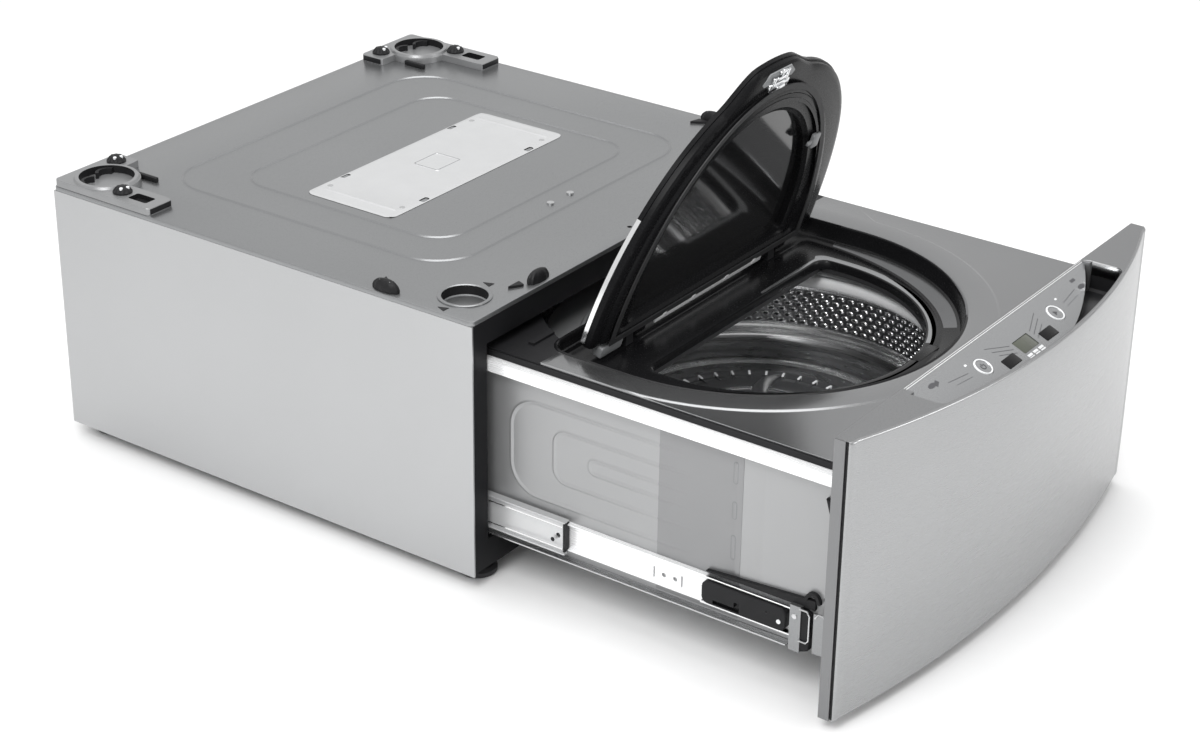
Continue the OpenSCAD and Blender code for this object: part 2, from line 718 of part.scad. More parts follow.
// ---- lid ----
module lid_frame() {
  color([0.06, 0.06, 0.065]) place() lid_place() difference() {
    union() {
      slab(-lid_under_t + 7, lid_top_t - 1.2) lid_outline(-1.5);
      slab(-lid_under_t, -lid_under_t + 7) lid_outline(-9);
      slab(-lid_under_t + 7, lid_top_t - 1.2) tab_outline();
      for (x = [-150, 150], s = [-1, 1]) translate([x + s * 20 - 11, 0, 0]) rotate([0, 90, 0])
        cylinder(r = 8, h = 22);
    }
    translate([0, 0, -2]) slab(-lid_under_t, lid_top_t + 4) window_plan(0);
    slab(lid_top_t - 6, lid_top_t + 2) window_plan(7);
    for (x = [-150, 150]) {
      box(x - 8, x + 8, -9, 30, -20, 20);
      translate([x, 0, 0]) translate([-30, 0, 0]) rotate([0, 90, 0]) cylinder(r = pin_r, h = 60);
    }
    box(-24, 24, -lid_len + 2, -lid_len + 16, -20, -lid_under_t + 9);
  }
}
module window_plan(grow) { half_oval(162 + grow, 188 + grow, -60, -24 + grow); }
module lid_trim() {
  color([0.85, 0.86, 0.87]) place() lid_place() difference() {
    slab(lid_top_t - 5, lid_top_t) lid_outline(0.5);
    slab(-20, lid_top_t + 5) lid_outline(-1.3);
    box(-300, 300, -lid_rear - 1, 60, -40, 40);
    box(-60, 60, -lid_len - 30, -lid_len + 60, -40, 40);
  }
}
module lid_window() {
  color([0.1, 0.1, 0.11, 0.6]) place() lid_place()
    slab(lid_top_t - 5.8, lid_top_t - 1.4) window_plan(6.7);
}
module lid_gasket() {
  color([0.12, 0.12, 0.12]) place() lid_place() union() {
    slab(-lid_under_t - 1.3, -lid_under_t) difference() {
      half_oval(200, 272, -18, -10);
      half_oval(192, 264, -18.6, -18);
    }
  }
}
module lid_latch() {
  color([0.72, 0.73, 0.74]) place() lid_place() union() {
    box(-20, 20, -lid_len + 3, -lid_len + 15, -lid_under_t + 2, -lid_under_t + 8.8);
    box(-8, 8, -lid_len + 6.6, -lid_len + 10.6, -lid_under_t - 10, -lid_under_t + 2);
  }
}
module lid_pins() {
  color([0.78, 0.79, 0.8]) place() lid_place() for (x = [-150, 150])
    translate([x - 30, 0, 0]) rotate([0, 90, 0]) cylinder(r = pin_r, h = 60);
}

// ---- tub, basket and drive ----
module spin() { place() translate([tub_x, -spin_y, 0]) children(); }
module tub() {
  color([0.55, 0.56, 0.57]) spin() difference() {
    union() {
      cylinder_at(tub_r, tub_z, tub_top);
      cylinder_at(40, 84, tub_z);
      for (x = [-1, 1], y = [-1, 1]) hull() {
        translate([x * 170, y * 150, 98.3]) cylinder(r = 22, h = 8, $fn = 32);
        translate([x * rod_x, y * rod_off, 98.3]) cylinder(r = 14, h = 8, $fn = 32);
      }
    }
    cylinder_at(tub_r - 4, tub_z + 4, tub_top + 1);
    cylinder_at(15.55, 80, tub_z + 10);
    for (x = [-1, 1], y = [-1, 1]) translate([x * rod_x, y * rod_off, 90])
      cylinder(r = 5, h = 30);
  }
}
module cylinder_at(r, z0, z1) { translate([0, 0, z0]) cylinder(r = r, h = z1 - z0); }
module tub_cover() {
  color([0.7, 0.71, 0.72]) spin() rotate_extrude() polygon([
    [207, 226.8], [207, 232], [210, 232], [213, 228], [248, 227.2], [252.5, 227.2],
    [252.5, 219], [250.3, 219], [250.3, 224.2], [222, 224.2]]);
}
module stator() {
  color([0.45, 0.3, 0.2]) spin() difference() {
    union() {
      tube(96, 62, 66, 84);
      tube(66, 30, 79, 84);
      for (i = [0:17]) rotate([0, 0, i * 20]) box(94, 103, -5, 5, 67, 83);
    }
    tube(150, 104, 0, 100);
  }
}
module basket() {
  color([0.75, 0.76, 0.78]) spin() difference() {
    union() {
      rotate_extrude() polygon([
        [24, basket_z], [basket_r - 10, basket_z], [basket_r, basket_z + 10],
        [basket_r, 198], [basket_r - 1.5, 198], [basket_r - 1.5, basket_z + 10.6],
        [basket_r - 10.6, basket_z + 1.5], [24, basket_z + 1.5]]);
    }
    for (i = [0:23]) rotate([0, 0, i * 15]) translate([190, 0, basket_z - 2])
      cylinder(r = 3, h = 6);
  }
}
module balance_ring() {
  color([0.62, 0.63, 0.64]) spin() rotate_extrude() polygon([
    [basket_r + 3, 199], [basket_r + 3, 217], [basket_r, basket_top], [214, basket_top],
    [210, 216], [214, 203], [basket_r - 2, 198.2], [basket_r + 0.5, 198.2]]);
}
module spin_tube() {
  color([0.7, 0.71, 0.72]) spin() union() {
    tube(15.5, 8.05, 78, basket_z);
    tube(60, 8.05, basket_z - 4, basket_z);
    tube(23.5, 8.05, basket_z, basket_z + 3);
  }
}
module pulsator() {
  color([0.6, 0.61, 0.62]) spin() difference() {
    union() {
      rotate_extrude() polygon([
        [0, 111], [pulsator_r - 4, 110], [pulsator_r, 112], [pulsator_r - 2, 115],
        [90, 118], [44, 126], [20, 131], [0, 132]]);
      for (i = [0:3]) rotate([0, 0, i * 90 + 20]) side_slab(-9, 9)
        polygon([[40, 114], [142, 112], [138, 120], [80, 131], [46, 131]]);
    }
    translate([0, 0, 100]) cylinder(r = 8.02, h = 18.1);
  }
}
module rotor() {
  color([0.4, 0.41, 0.43]) spin() union() {
    difference() {
      cylinder_at(112, 58, 84);
      cylinder_at(106, 61, 85);
    }
    cylinder_at(20, 61, 66);
    cylinder_at(8, 61, 118);
  }
}

cabinet_side_left();
cabinet_side_right();
top_plate();
access_plate();
cabinet_beams();
rear_panel();
base_frame();
front_frame();
outer_rails();
foot_pads();
foot_screws();
rear_retainers();
front_retainers();
cabinet_screws();
water_inlets();
drain_outlet();
middle_rails();
drawer_side_left();
drawer_side_right();
drawer_pan();
top_rails();
deck_panel();
deck_trims();
rear_deck();
lid_seat();
opening_seal();
hinge_brackets();
lid_lock();
inner_rails();
soft_close_units();
rail_end_brackets();
panel_back();
panel_core();
front_skin();
handle_pocket();
control_fascia();
display_window();
control_board();
suspension_rods();
suspension_springs();
drain_pump();
controller_box();
power_button();
start_button();
cycle_key();
temp_key();
lid_frame();
lid_trim();
lid_window();
lid_gasket();
lid_latch();
lid_pins();
tub();
tub_cover();
stator();
basket();
balance_ring();
spin_tube();
pulsator();
rotor();
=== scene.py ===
"""Pedestal drawer washer with its drawer and lid open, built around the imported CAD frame.

Lengths in the helpers are millimetres in the cabinet's own frame: x = 0 at the middle,
y = 0 at the cabinet's front plane, z = 0 at its lower edge. W() turns them into metres
in the row frame, and L() does the same for the open lid.
"""

from math import acos, asin, cos, dist, hypot, pi, radians, sin, sqrt

import bmesh
import bpy
from mathutils import Matrix, Vector
from mathutils.geometry import delaunay_2d_cdt


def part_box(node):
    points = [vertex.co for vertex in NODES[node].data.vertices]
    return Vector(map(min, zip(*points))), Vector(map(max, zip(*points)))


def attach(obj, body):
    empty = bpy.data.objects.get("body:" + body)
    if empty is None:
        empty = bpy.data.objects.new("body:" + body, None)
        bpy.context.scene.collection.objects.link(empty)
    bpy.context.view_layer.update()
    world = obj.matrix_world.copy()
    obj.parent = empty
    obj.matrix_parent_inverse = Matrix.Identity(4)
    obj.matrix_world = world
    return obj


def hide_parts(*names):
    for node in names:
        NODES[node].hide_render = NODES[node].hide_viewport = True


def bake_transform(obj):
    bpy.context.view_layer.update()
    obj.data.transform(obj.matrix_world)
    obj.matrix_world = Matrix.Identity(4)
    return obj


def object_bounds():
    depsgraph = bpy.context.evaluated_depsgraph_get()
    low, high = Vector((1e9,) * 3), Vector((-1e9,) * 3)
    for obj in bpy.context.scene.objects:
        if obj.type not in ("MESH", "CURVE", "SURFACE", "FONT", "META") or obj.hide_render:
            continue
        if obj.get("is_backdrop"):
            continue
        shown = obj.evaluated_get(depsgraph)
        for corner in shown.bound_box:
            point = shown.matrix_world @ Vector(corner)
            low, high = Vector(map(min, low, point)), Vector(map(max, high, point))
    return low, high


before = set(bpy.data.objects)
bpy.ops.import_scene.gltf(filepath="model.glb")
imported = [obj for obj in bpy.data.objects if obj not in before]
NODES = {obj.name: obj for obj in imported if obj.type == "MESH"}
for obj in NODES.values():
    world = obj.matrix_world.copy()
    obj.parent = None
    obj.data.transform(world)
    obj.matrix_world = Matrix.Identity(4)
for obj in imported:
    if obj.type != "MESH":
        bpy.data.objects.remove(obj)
CAD_BOX = [list(c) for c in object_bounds()]

SIDE_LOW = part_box("cabinet_side_left")[0]
Y0, Z0 = SIDE_LOW[1], SIDE_LOW[2]
PIN_LOW, PIN_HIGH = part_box("lid_pins")
HINGE = (Vector(PIN_LOW) + Vector(PIN_HIGH)) / 2
LID_ANGLE = radians(72)
ALONG = Vector((0, -cos(LID_ANGLE), sin(LID_ANGLE)))
NORMAL = Vector((0, sin(LID_ANGLE), cos(LID_ANGLE)))
TUB_X = HINGE.x * 1000
SPIN = (TUB_X, -170)              # axis of tub, basket and pulsator
HALF, TOP = 343.0, 324.0          # cabinet's half width and height
SEAT_R, SEAT_Y = 248, -157        # round part of the lid's seat
SHEET_X, DECK_Z = 300, 277        # outside of the drawer's sheets, top of its deck
SEAL, PANE = (229, 285, 16), (162, 188, 60)   # half ovals of the lid's seal and glass
DRUM_R = 236
LID_CENTRE = (0.0, 125.0)
ARC_GAP = 40                      # two arc points farther apart are not joined


def W(x, y, z):
    return Vector((x / 1000, y / 1000 + Y0, z / 1000 + Z0))


def L(x, v, w):
    """Point on the lid: x sideways from its middle, v along it, w above its axis."""
    return HINGE + Vector((x / 1000, 0, 0)) + ALONG * (v / 1000) + NORMAL * (w / 1000)


# ---------------------------------------------------------------- materials
def add_node(tree, kind, links, **values):
    """New node with its inputs linked by name and its other values set."""
    made = tree.nodes.new("ShaderNode" + kind)
    for name, value in values.items():
        made.inputs[name.replace("_", " ")].default_value = value
    for name, socket in links.items():
        tree.links.new(socket, made.inputs[name])
    return made


def ramp_between(tree, fac, low, high):
    return add_node(tree, "MapRange", {"Value": fac}, From_Min=0.3, From_Max=0.7,
                    To_Min=low, To_Max=high).outputs["Result"]


def noise(tree, coords, scale, detail):
    """Noise at scale, which is one number or one for each axis."""
    scale = scale if isinstance(scale, tuple) else (scale, scale, scale)
    mapping = add_node(tree, "Mapping", {"Vector": coords}, Scale=scale)
    return add_node(tree, "TexNoise", {"Vector": mapping.outputs["Vector"]}, Scale=1.0,
                    Detail=detail, Roughness=0.55).outputs["Fac"]


def material(name, color, rough, metal, spread, rough_spread, grain=60, fine=900, bump=0.0,
             coat=0.0, specular=0.5, transmission=0.0):
    """Principled material whose colour and roughness wander a little at two scales."""
    mat = bpy.data.materials.new(name)
    mat.use_nodes = True
    tree = mat.node_tree
    shader = tree.nodes["Principled BSDF"]
    coords = tree.nodes.new("ShaderNodeTexCoord").outputs["Object"]
    big, small = noise(tree, coords, grain, 3.0), noise(tree, coords, fine, 2.0)
    mix = tree.nodes.new("ShaderNodeMix")
    mix.data_type = "RGBA"
    mix.inputs["A"].default_value = [c * (1 - spread) for c in color] + [1]
    mix.inputs["B"].default_value = [min(1, c * (1 + spread)) for c in color] + [1]
    both = tree.nodes.new("ShaderNodeMath")
    both.operation = "ADD"
    tree.links.new(ramp_between(tree, big, 0.0, 0.6), both.inputs[0])
    tree.links.new(ramp_between(tree, small, 0.0, 0.4), both.inputs[1])
    tree.links.new(both.outputs[0], mix.inputs["Factor"])
    tree.links.new(mix.outputs["Result"], shader.inputs["Base Color"])
    tree.links.new(ramp_between(tree, small, max(0.02, rough - rough_spread),
                                rough + rough_spread), shader.inputs["Roughness"])
    for socket, value in (("Metallic", metal), ("Coat Weight", coat), ("Coat Roughness", 0.08),
                          ("Specular IOR Level", specular),
                          ("Transmission Weight", transmission)):
        shader.inputs[socket].default_value = value
    if bump:
        relief = add_node(tree, "Bump", {"Height": small}, Strength=bump, Distance=0.0004)
        tree.links.new(relief.outputs["Normal"], shader.inputs["Normal"])
    return mat


SILVER = material("silver_enamel", (0.46, 0.465, 0.47), 0.36, 0.85, 0.03, 0.04, 3, 2500, 0.03)
TOP_GREY = material("grey_enamel", (0.29, 0.295, 0.30), 0.30, 0.85, 0.04, 0.04, 4, 1800, 0.05)
PLATE_WHITE = material("zinc_coated_plate", (0.60, 0.605, 0.61), 0.34, 0.5, 0.03, 0.05, 40, 700,
                       0.05)
DARK_ENAMEL = material("black_enamel", (0.010, 0.010, 0.011), 0.42, 0.0, 0.1, 0.06, 30, 900, 0.06,
                       specular=0.12)
ZINC = material("zinc_steel", (0.60, 0.605, 0.61), 0.26, 0.95, 0.04, 0.05, (200, 6, 200),
                (900, 20, 900), 0.02)
RAIL_WHITE = material("bright_rail", (0.93, 0.935, 0.94), 0.26, 0.3, 0.02, 0.05, (20, 4, 20),
                      (1200, 60, 1200), 0.03)
SKIN = material("brushed_skin", (0.36, 0.363, 0.367), 0.28, 0.95, 0.03, 0.05, (3, 3, 6),
                (30, 30, 3500), 0.02)
DECK_GREY = material("deck_grey", (0.29, 0.293, 0.297), 0.22, 0.9, 0.04, 0.05, 5, 2200, 0.04)
SHEET_GREY = material("drawer_sheet", (0.35, 0.353, 0.357), 0.38, 0.6, 0.03, 0.04, 6, 1800, 0.04)
# darker copy of the sheet's grey: painted shade on the front part of the drawer's sides
SHEET_PAINTED_SHADE = material("drawer_sheet_painted_shade", (0.26, 0.262, 0.266), 0.34, 0.6, 0.03, 0.04, 6, 1800,
                      0.04)
BLACK = material("black_plastic", (0.013, 0.013, 0.014), 0.45, 0.0, 0.15, 0.08, 40, 2600, 0.2,
                 specular=0.18)
GLOSS = material("gloss_black", (0.006, 0.006, 0.0065), 0.24, 0.0, 0.15, 0.04, 12, 500, 0.02,
                 specular=0.22)
SEAT_DARK = material("seat_dark", (0.17, 0.172, 0.176), 0.17, 0.9, 0.08, 0.04, 14, 1600, 0.04)
RIM_GREY = material("rim_grey", (0.33, 0.335, 0.34), 0.20, 0.8, 0.05, 0.04, 14, 1600, 0.04)
RUBBER = material("black_rubber", (0.018, 0.018, 0.019), 0.62, 0.0, 0.2, 0.08, 60, 1800, 0.3)
CHROME = material("bright_trim", (0.86, 0.865, 0.87), 0.14, 1.0, 0.02, 0.03, 20, 800, 0.01)
WHITE_PLASTIC = material("white_plastic", (0.78, 0.785, 0.79), 0.38, 0.0, 0.03, 0.06, 20, 1800,
                         0.06)
GREY_PLASTIC = material("grey_plastic", (0.20, 0.205, 0.21), 0.45, 0.05, 0.08, 0.07, 40, 1800,
                        0.15)
GREY_PLASTIC_LIGHT = material("bracket_grey", (0.27, 0.273, 0.277), 0.34, 0.5, 0.06, 0.06, 30,
                              1800, 0.08)
ZINC_BRIGHT = material("bright_zinc", (0.72, 0.73, 0.74), 0.2, 1.0, 0.06, 0.06, 90, 1200, 0.05)
RING_GREY = material("ring_grey", (0.88, 0.885, 0.89), 0.3, 0.1, 0.04, 0.05, 20, 1600, 0.04)
DRUM = material("drum_steel", (0.86, 0.865, 0.87), 0.24, 1.0, 0.08, 0.06, (4, 4, 400),
                (30, 30, 2500), 0.04)
# darker copy of the drum steel, used as painted shade
DRUM_PAINTED_SHADE = material("drum_steel_painted_shade", (0.24, 0.242, 0.246), 0.3, 1.0, 0.08, 0.06, (4, 4, 400),
                     (30, 30, 2500), 0.04)
FASCIA = material("fascia_silver", (0.33, 0.335, 0.34), 0.26, 0.7, 0.03, 0.04, 5, 2600, 0.03)
PRINT_DARK = material("dark_print", (0.06, 0.06, 0.065), 0.4, 0.0, 0.1, 0.05)
PRINT_LIGHT = material("light_print", (0.78, 0.79, 0.80), 0.35, 0.0, 0.04, 0.05)
DISPLAY = material("display_window", (0.060, 0.066, 0.048), 0.16, 0.0, 0.12, 0.03, 70, 500, 0.0,
                   coat=0.6)
BOARD = material("circuit_board", (0.03, 0.14, 0.06), 0.45, 0.0, 0.2, 0.08)
GLASS = material("smoked_glass", (0.022, 0.022, 0.023), 0.08, 0.0, 0.1, 0.02, 8, 400, 0.0,
                 specular=0.25, transmission=0.6)
LID_BLACK = material("lid_black", (0.006, 0.006, 0.0065), 0.26, 0.0, 0.15, 0.04, 12, 500, 0.02,
                     specular=0.07)
PANEL_TOP_GREY = material("panel_top_grey", (0.25, 0.252, 0.256), 0.3, 0.8, 0.03, 0.04, 5, 2200,
                          0.03)
PAN_GREY = material("panel_pan_grey", (0.21, 0.212, 0.216), 0.38, 0.6, 0.03, 0.04, 5, 2200, 0.03)
DISC_DARK = material("pulsator_dark", (0.045, 0.046, 0.048), 0.4, 0.1, 0.1, 0.06, 20, 1500, 0.1)
COPPER = material("motor_windings", (0.45, 0.22, 0.10), 0.4, 0.8, 0.2, 0.08, 200, 1500, 0.3)
TUB_GREY = material("tub_plastic", (0.30, 0.305, 0.31), 0.5, 0.0, 0.06, 0.06, 20, 1500, 0.1)


# ---------------------------------------------------------------- mesh helpers
def finish_mesh(bm, name, mats, body, replaces=(), angle=32, doubles=1e-6):
    """Makes the piece name from bm, and attaches it to body unless body is None."""
    bmesh.ops.remove_doubles(bm, verts=bm.verts, dist=doubles)
    bmesh.ops.recalc_face_normals(bm, faces=bm.faces)
    mesh = bpy.data.meshes.new(name)
    bm.to_mesh(mesh)
    bm.free()
    for mat in mats if isinstance(mats, (list, tuple)) else [mats]:
        mesh.materials.append(mat)
    mesh.shade_smooth()
    mesh.set_sharp_from_angle(angle=radians(angle))
    obj = bpy.data.objects.new(name, mesh)
    bpy.context.scene.collection.objects.link(obj)
    if replaces:
        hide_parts(*replaces)
    if body:
        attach(obj, body)
    return obj


def loft(bm, rings, close=True, cap_start=False, cap_end=False, mat=0, mats=None):
    """Faces between rings of points; mats gives one material index per gap."""
    rows = [[bm.verts.new(p) for p in ring] for ring in rings]
    for k, (a, b) in enumerate(zip(rows, rows[1:])):
        n = len(a)
        for i in range(n if close else n - 1):
            j = (i + 1) % n
            face = bm.faces.new((a[i], a[j], b[j], b[i]))
            face.material_index = mats[k] if mats else mat
    if cap_start:
        bm.faces.new(rows[0][::-1]).material_index = mats[0] if mats else mat
    if cap_end:
        bm.faces.new(rows[-1]).material_index = mats[-1] if mats else mat
    return rows


def level(loop, z, to=W):
    """Points of a plane loop at height z, a number or a function of the place."""
    return [to(x, y, z(x, y) if callable(z) else z) for x, y in loop]


def prism(bm, loop, z0, z1, to=W, mat=0, foot=False):
    """Closed outline drawn from z0 to z1, with a cap at z1."""
    loft(bm, [level(loop, z0, to), level(loop, z1, to)], True, foot, True, mat)


def lathe(bm, profile, centre, segments, mats=None, close=False):
    """Turns a profile of (radius, z) about the vertical axis through centre."""
    rings = [level(circle_loop(*centre, r, segments), z) for r, z in profile]
    loft(bm, rings + rings[:1] if close else rings, mats=mats)


def rounded_box(bm, x0, x1, y0, y1, z0, z1, r=1.0, mat=0, to=W):
    """Box with rounded vertical edges and softened top and bottom edges."""
    e = min(r, (z1 - z0) / 2.2) * 0.6
    steps = ((e, z0), (e * 0.3, z0 + e * 0.3), (0, z0 + e),
             (0, z1 - e), (e * 0.3, z1 - e * 0.3), (e, z1))
    loft(bm, [level(rr_loop(x0, x1, y0, y1, r, 3, max(r - inset, 0.05)), z, to)
              for inset, z in steps], True, True, True, mat)


def rr_loop(x0, x1, y0, y1, r, n, turn=None):
    """Rectangle with rounded corners; turn is their radius where it isn't r."""
    turn = r if turn is None else turn
    pts = []
    for cx, cy, a0 in ((x1 - r, y1 - r, 0), (x0 + r, y1 - r, 90),
                       (x0 + r, y0 + r, 180), (x1 - r, y0 + r, 270)):
        for k in range(n + 1):
            a = radians(a0 + 90 * k / n)
            pts.append((cx + turn * cos(a), cy + turn * sin(a)))
    return pts


def rr_distance(x, y, x0, x1, y0, y1, r):
    """Distance from a rectangle with rounded corners, below zero inside it."""
    cx, cy = (x0 + x1) / 2, (y0 + y1) / 2
    dx = abs(x - cx) - (x1 - x0) / 2 + r
    dy = abs(y - cy) - (y1 - y0) / 2 + r
    return hypot(max(dx, 0), max(dy, 0)) + min(max(dx, dy), 0) - r


def grown(box, d):
    """The sides x0, x1, y0, y1 of box, moved out by d."""
    return box[0] - d, box[1] + d, box[2] - d, box[3] + d


def rect(x0, x1, y0, y1):
    return [(x0, y0), (x1, y0), (x1, y1), (x0, y1)]


def circle_loop(cx, cy, r, n):
    return [(cx + r * cos(2 * pi * i / n), cy + r * sin(2 * pi * i / n))
            for i in range(n)]


def arc(cx, cy, rx, ry, degrees):
    return [(cx + rx * cos(radians(a)), cy + ry * sin(radians(a)))
            for a in degrees]


def stroke(u0, v0, u1, v1, width):
    """Four corners of a straight line with a width."""
    d = Vector((u1 - u0, v1 - v0))
    n = Vector((-d.y, d.x)).normalized() * width / 2
    return [(u0 - n.x, v0 - n.y), (u1 - n.x, v1 - n.y), (u1 + n.x, v1 + n.y),
            (u0 + n.x, v0 + n.y)]


def subdivide(loop, step):
    out = []
    for i, p in enumerate(loop):
        q = loop[(i + 1) % len(loop)]
        n = max(1, int(hypot(q[0] - p[0], q[1] - p[1]) / step))
        out += [(p[0] + (q[0] - p[0]) * k / n, p[1] + (q[1] - p[1]) * k / n) for k in range(n)]
    return out


def inside(x, y, loop):
    hit = False
    j = len(loop) - 1
    for i in range(len(loop)):
        xi, yi = loop[i]
        xj, yj = loop[j]
        if (yi > y) != (yj > y) and x < (xj - xi) * (y - yi) / (yj - yi) + xi:
            hit = not hit
        j = i
    return hit


def sheet(bm, outer, holes, guides, height, to=W, mat=0, mat_at=None, arcs=()):
    """Triangulated sheet inside outer and outside holes, lifted to height(x, y).

    Its edges follow the closed guides and the open arcs, which may have gaps.
    """
    coords, edges = [], []
    for loop in [outer] + list(holes) + list(guides):
        start = len(coords)
        coords += [Vector(p) for p in loop]
        n = len(loop)
        edges += [(start + i, start + (i + 1) % n) for i in range(n)]
    for points in arcs:
        start = len(coords)
        coords += [Vector(p) for p in points]
        edges += [(start + i, start + i + 1) for i in range(len(points) - 1)
                  if dist(points[i], points[i + 1]) < ARC_GAP]
    verts, _, faces, _, _, _ = delaunay_2d_cdt(coords, edges, [], 0, 1e-4)
    made = [bm.verts.new(to(v.x, v.y, height(v.x, v.y))) for v in verts]
    for f in faces:
        cx = sum(verts[i].x for i in f) / len(f)
        cy = sum(verts[i].y for i in f) / len(f)
        if not inside(cx, cy, outer) or any(inside(cx, cy, h) for h in holes):
            continue
        face = bm.faces.new([made[i] for i in f])
        face.material_index = mat_at(cx, cy) if mat_at else mat
    loose = [v for v in bm.verts if not v.link_faces]
    bmesh.ops.delete(bm, geom=loose, context="VERTS")


def smooth(a, b, t):
    t = min(max((t - a) / (b - a), 0), 1)
    return t * t * (3 - 2 * t)


def polar(loop, centre, n):
    """Points where n evenly turned rays from centre leave the loop."""
    out = []
    cx, cy = centre
    for i in range(n):
        a = 2 * pi * i / n
        dx, dy = cos(a), sin(a)
        best = None
        for k in range(len(loop)):
            x1, y1 = loop[k][0] - cx, loop[k][1] - cy
            x2, y2 = loop[(k + 1) % len(loop)][0] - cx, loop[(k + 1) % len(loop)][1] - cy
            den = dx * (y2 - y1) - dy * (x2 - x1)
            if abs(den) < 1e-12:
                continue
            t = (x1 * (y2 - y1) - y1 * (x2 - x1)) / den
            u = (x1 * dy - y1 * dx) / den
            if t > 0 and -1e-9 <= u <= 1 + 1e-9 and (best is None or t > best):
                best = t
        out.append((cx + dx * best, cy + dy * best))
    return out


def oval_loop(a, b, yc, yr, corner, n=64):
    """Half ellipse towards -y from y = yc, squared off at yr with rounded corners."""
    pts = [(-a * cos(pi * i / n), yc - b * sin(pi * i / n))
           for i in range(n + 1)]
    c = min(corner, (yr - yc) * 0.95) if yr - yc > 1 else 0.5
    for cx, a0 in ((a - c, 0), (-a + c, 90)):
        for k in range(9):
            t = radians(a0 + 90 * k / 8)
            pts.append((cx + c * cos(t), yr - c + c * sin(t)))
    return pts


def seat_loop(grow):
    r = SEAT_R + grow
    return [(x + TUB_X, y) for x, y in
            oval_loop(r, r, SEAT_Y, -43 + grow, max(28 + grow, 4), 72)]


def opening_loop(grow):
    return [(x + TUB_X, y) for x, y in
            oval_loop(188 + grow, 194 + grow, -168, -138 + grow, 16)]


def behind(a, b, start, grow, rear, corner=12):
    """Half oval in the lid's plane whose straight edge lies at v = rear."""
    return [(x, -y) for x, y in oval_loop(a + grow, b + grow, -start, -rear, corner)]


def lid_loop(grow):
    """Closed outline of the lid in its own plane, as (x, v)."""
    return behind(*SEAL, grow, 6 - grow)


def lid_shape(grow):
    """Outline of the lid's own edge, fuller on its right side than the seal is."""
    out = []
    for x, v in lid_loop(grow):
        if x > 0:
            turn = min(1, x / (229 + grow))
            if v > 16.5:
                t = acos(turn)
                x = (242 + grow) * cos(t) ** 0.8
                v = 16 + (285 + grow) * sin(t) ** 0.8
            else:
                x += 13 * smooth(0, 200, x)
        out.append((x, v))
    return out


def window_loop(grow):
    return behind(*PANE, grow, 24 - grow, 20)


# ---------------------------------------------------------------- cabinet
def make_top_plate():
    bm = bmesh.new()
    outer = rr_loop(-341.6, 341.6, 1.4, 648.6, 5, 6)
    beads = [(-250, 250, 110, 560, 60), (-194, 194, 158, 490, 45)]
    guides = []
    for bead in beads:
        for d in (1, -0.4, -1.4, -2.5, -3.6, -4.6, -6):
            guides.append(subdivide(rr_loop(*grown(bead, d), bead[4] + d, 14), 60))
    holes = [circle_loop(s * 292, 50, 29, 48) for s in (-1, 1)]
    holes += [circle_loop(s * 20, 133, 2.6, 16) for s in (-1, 1)]
    holes.append(circle_loop(-20, 16, 3, 16))

    def height(x, y):
        z = TOP
        for bead, rise in zip(beads, (1.5, 1.4)):
            z += rise * (1 - smooth(0, 2.1, abs(rr_distance(x, y, *bead) + 2.5)))
        return z

    sheet(bm, outer, holes, guides, height)
    side = rr_loop(-HALF, HALF, 0, 650, 6, 6)
    loft(bm, [level(outer, TOP), level(rr_loop(-342.6, 342.6, 0.4, 649.6, 5.5, 6), TOP - 0.4),
              level(side, TOP - 1.4), level(side, TOP - 5.6)])
    finish_mesh(bm, "top_plate_sheet", TOP_GREY, "cabinet",
                ["top_plate"], doubles=2e-5)


make_top_plate()


# ---------------------------------------------------------------- drawer sides
def make_drawer_side(sign, name, node):
    bm = bmesh.new()
    outer = rect(-459, 134.8, 46, 254)
    rings = [(-309, -20, 106, 227, 38), (-290, -80, 135, 202, 18), (-270, -128, 160, 180, 9)]
    guides = []
    for ring in rings:
        for d in (2.5, 1, -0.5, -2, -3.5, -5):
            guides.append(subdivide(rr_loop(*grown(ring, d), max(ring[4] + d, 2), 10), 60))
    bars = [(-321.6, -318.4, z0, z1, 1.5) for z0, z1 in ((212, 236), (169, 188), (119, 147))]
    for bar in bars:
        for d in (1.6, 0.4, -0.8):
            guides.append(rr_loop(*grown(bar, d), max(bar[4] + d, 0.3), 4))
    step_y, painted_shade_y = -330, -222     # the sheet steps out at one, and up to the other it carries a painted shade patch
    for y in (step_y - 0.6, step_y + 0.6, -359, -357, -355, painted_shade_y):
        guides.append([(y, 47), (y + 0.01, 253)])

    def height(y, z):
        h = 0.0
        for ring in rings:
            d = rr_distance(y, z, *ring)
            h += 1.1 * (1 - smooth(0, 2.6, abs(d + 1.2))) * smooth(-224, -221, y)
        for bar in bars:
            h += 0.9 * (1 - smooth(-1.2, 1.4, rr_distance(y, z, *bar)))
        if y < step_y + 0.1:
            h += 0.7
        h += 0.5 * (1 - smooth(0, 2, abs(y + 357)))
        return h

    # index 1 is the painted shade patch on the sheet, index 2 the dark rims round the bars
    def shade(y, z):
        if any(0.4 < rr_distance(y, z, *bar) < 1.6 for bar in bars):
            return 2
        return 1 if step_y < y < painted_shade_y else 0

    sheet(bm, outer, [], guides, height, to=lambda y, z, h: W(sign * (SHEET_X + h), y, z),
          mat_at=shade)
    # inner face, so that the sheet has its thickness
    inner = [W(sign * (SHEET_X - 1.2), y, z) for y, z in outer]
    rim = [W(sign * (SHEET_X + height(y, z)), y, z) for y, z in outer]
    loft(bm, [rim, inner], True, False, True)
    finish_mesh(bm, name, [SHEET_GREY, SHEET_PAINTED_SHADE, GREY_PLASTIC], "drawer",
                [node], 30)


make_drawer_side(-1, "drawer_sheet_left", "drawer_side_left")
make_drawer_side(1, "drawer_sheet_right", "drawer_side_right")


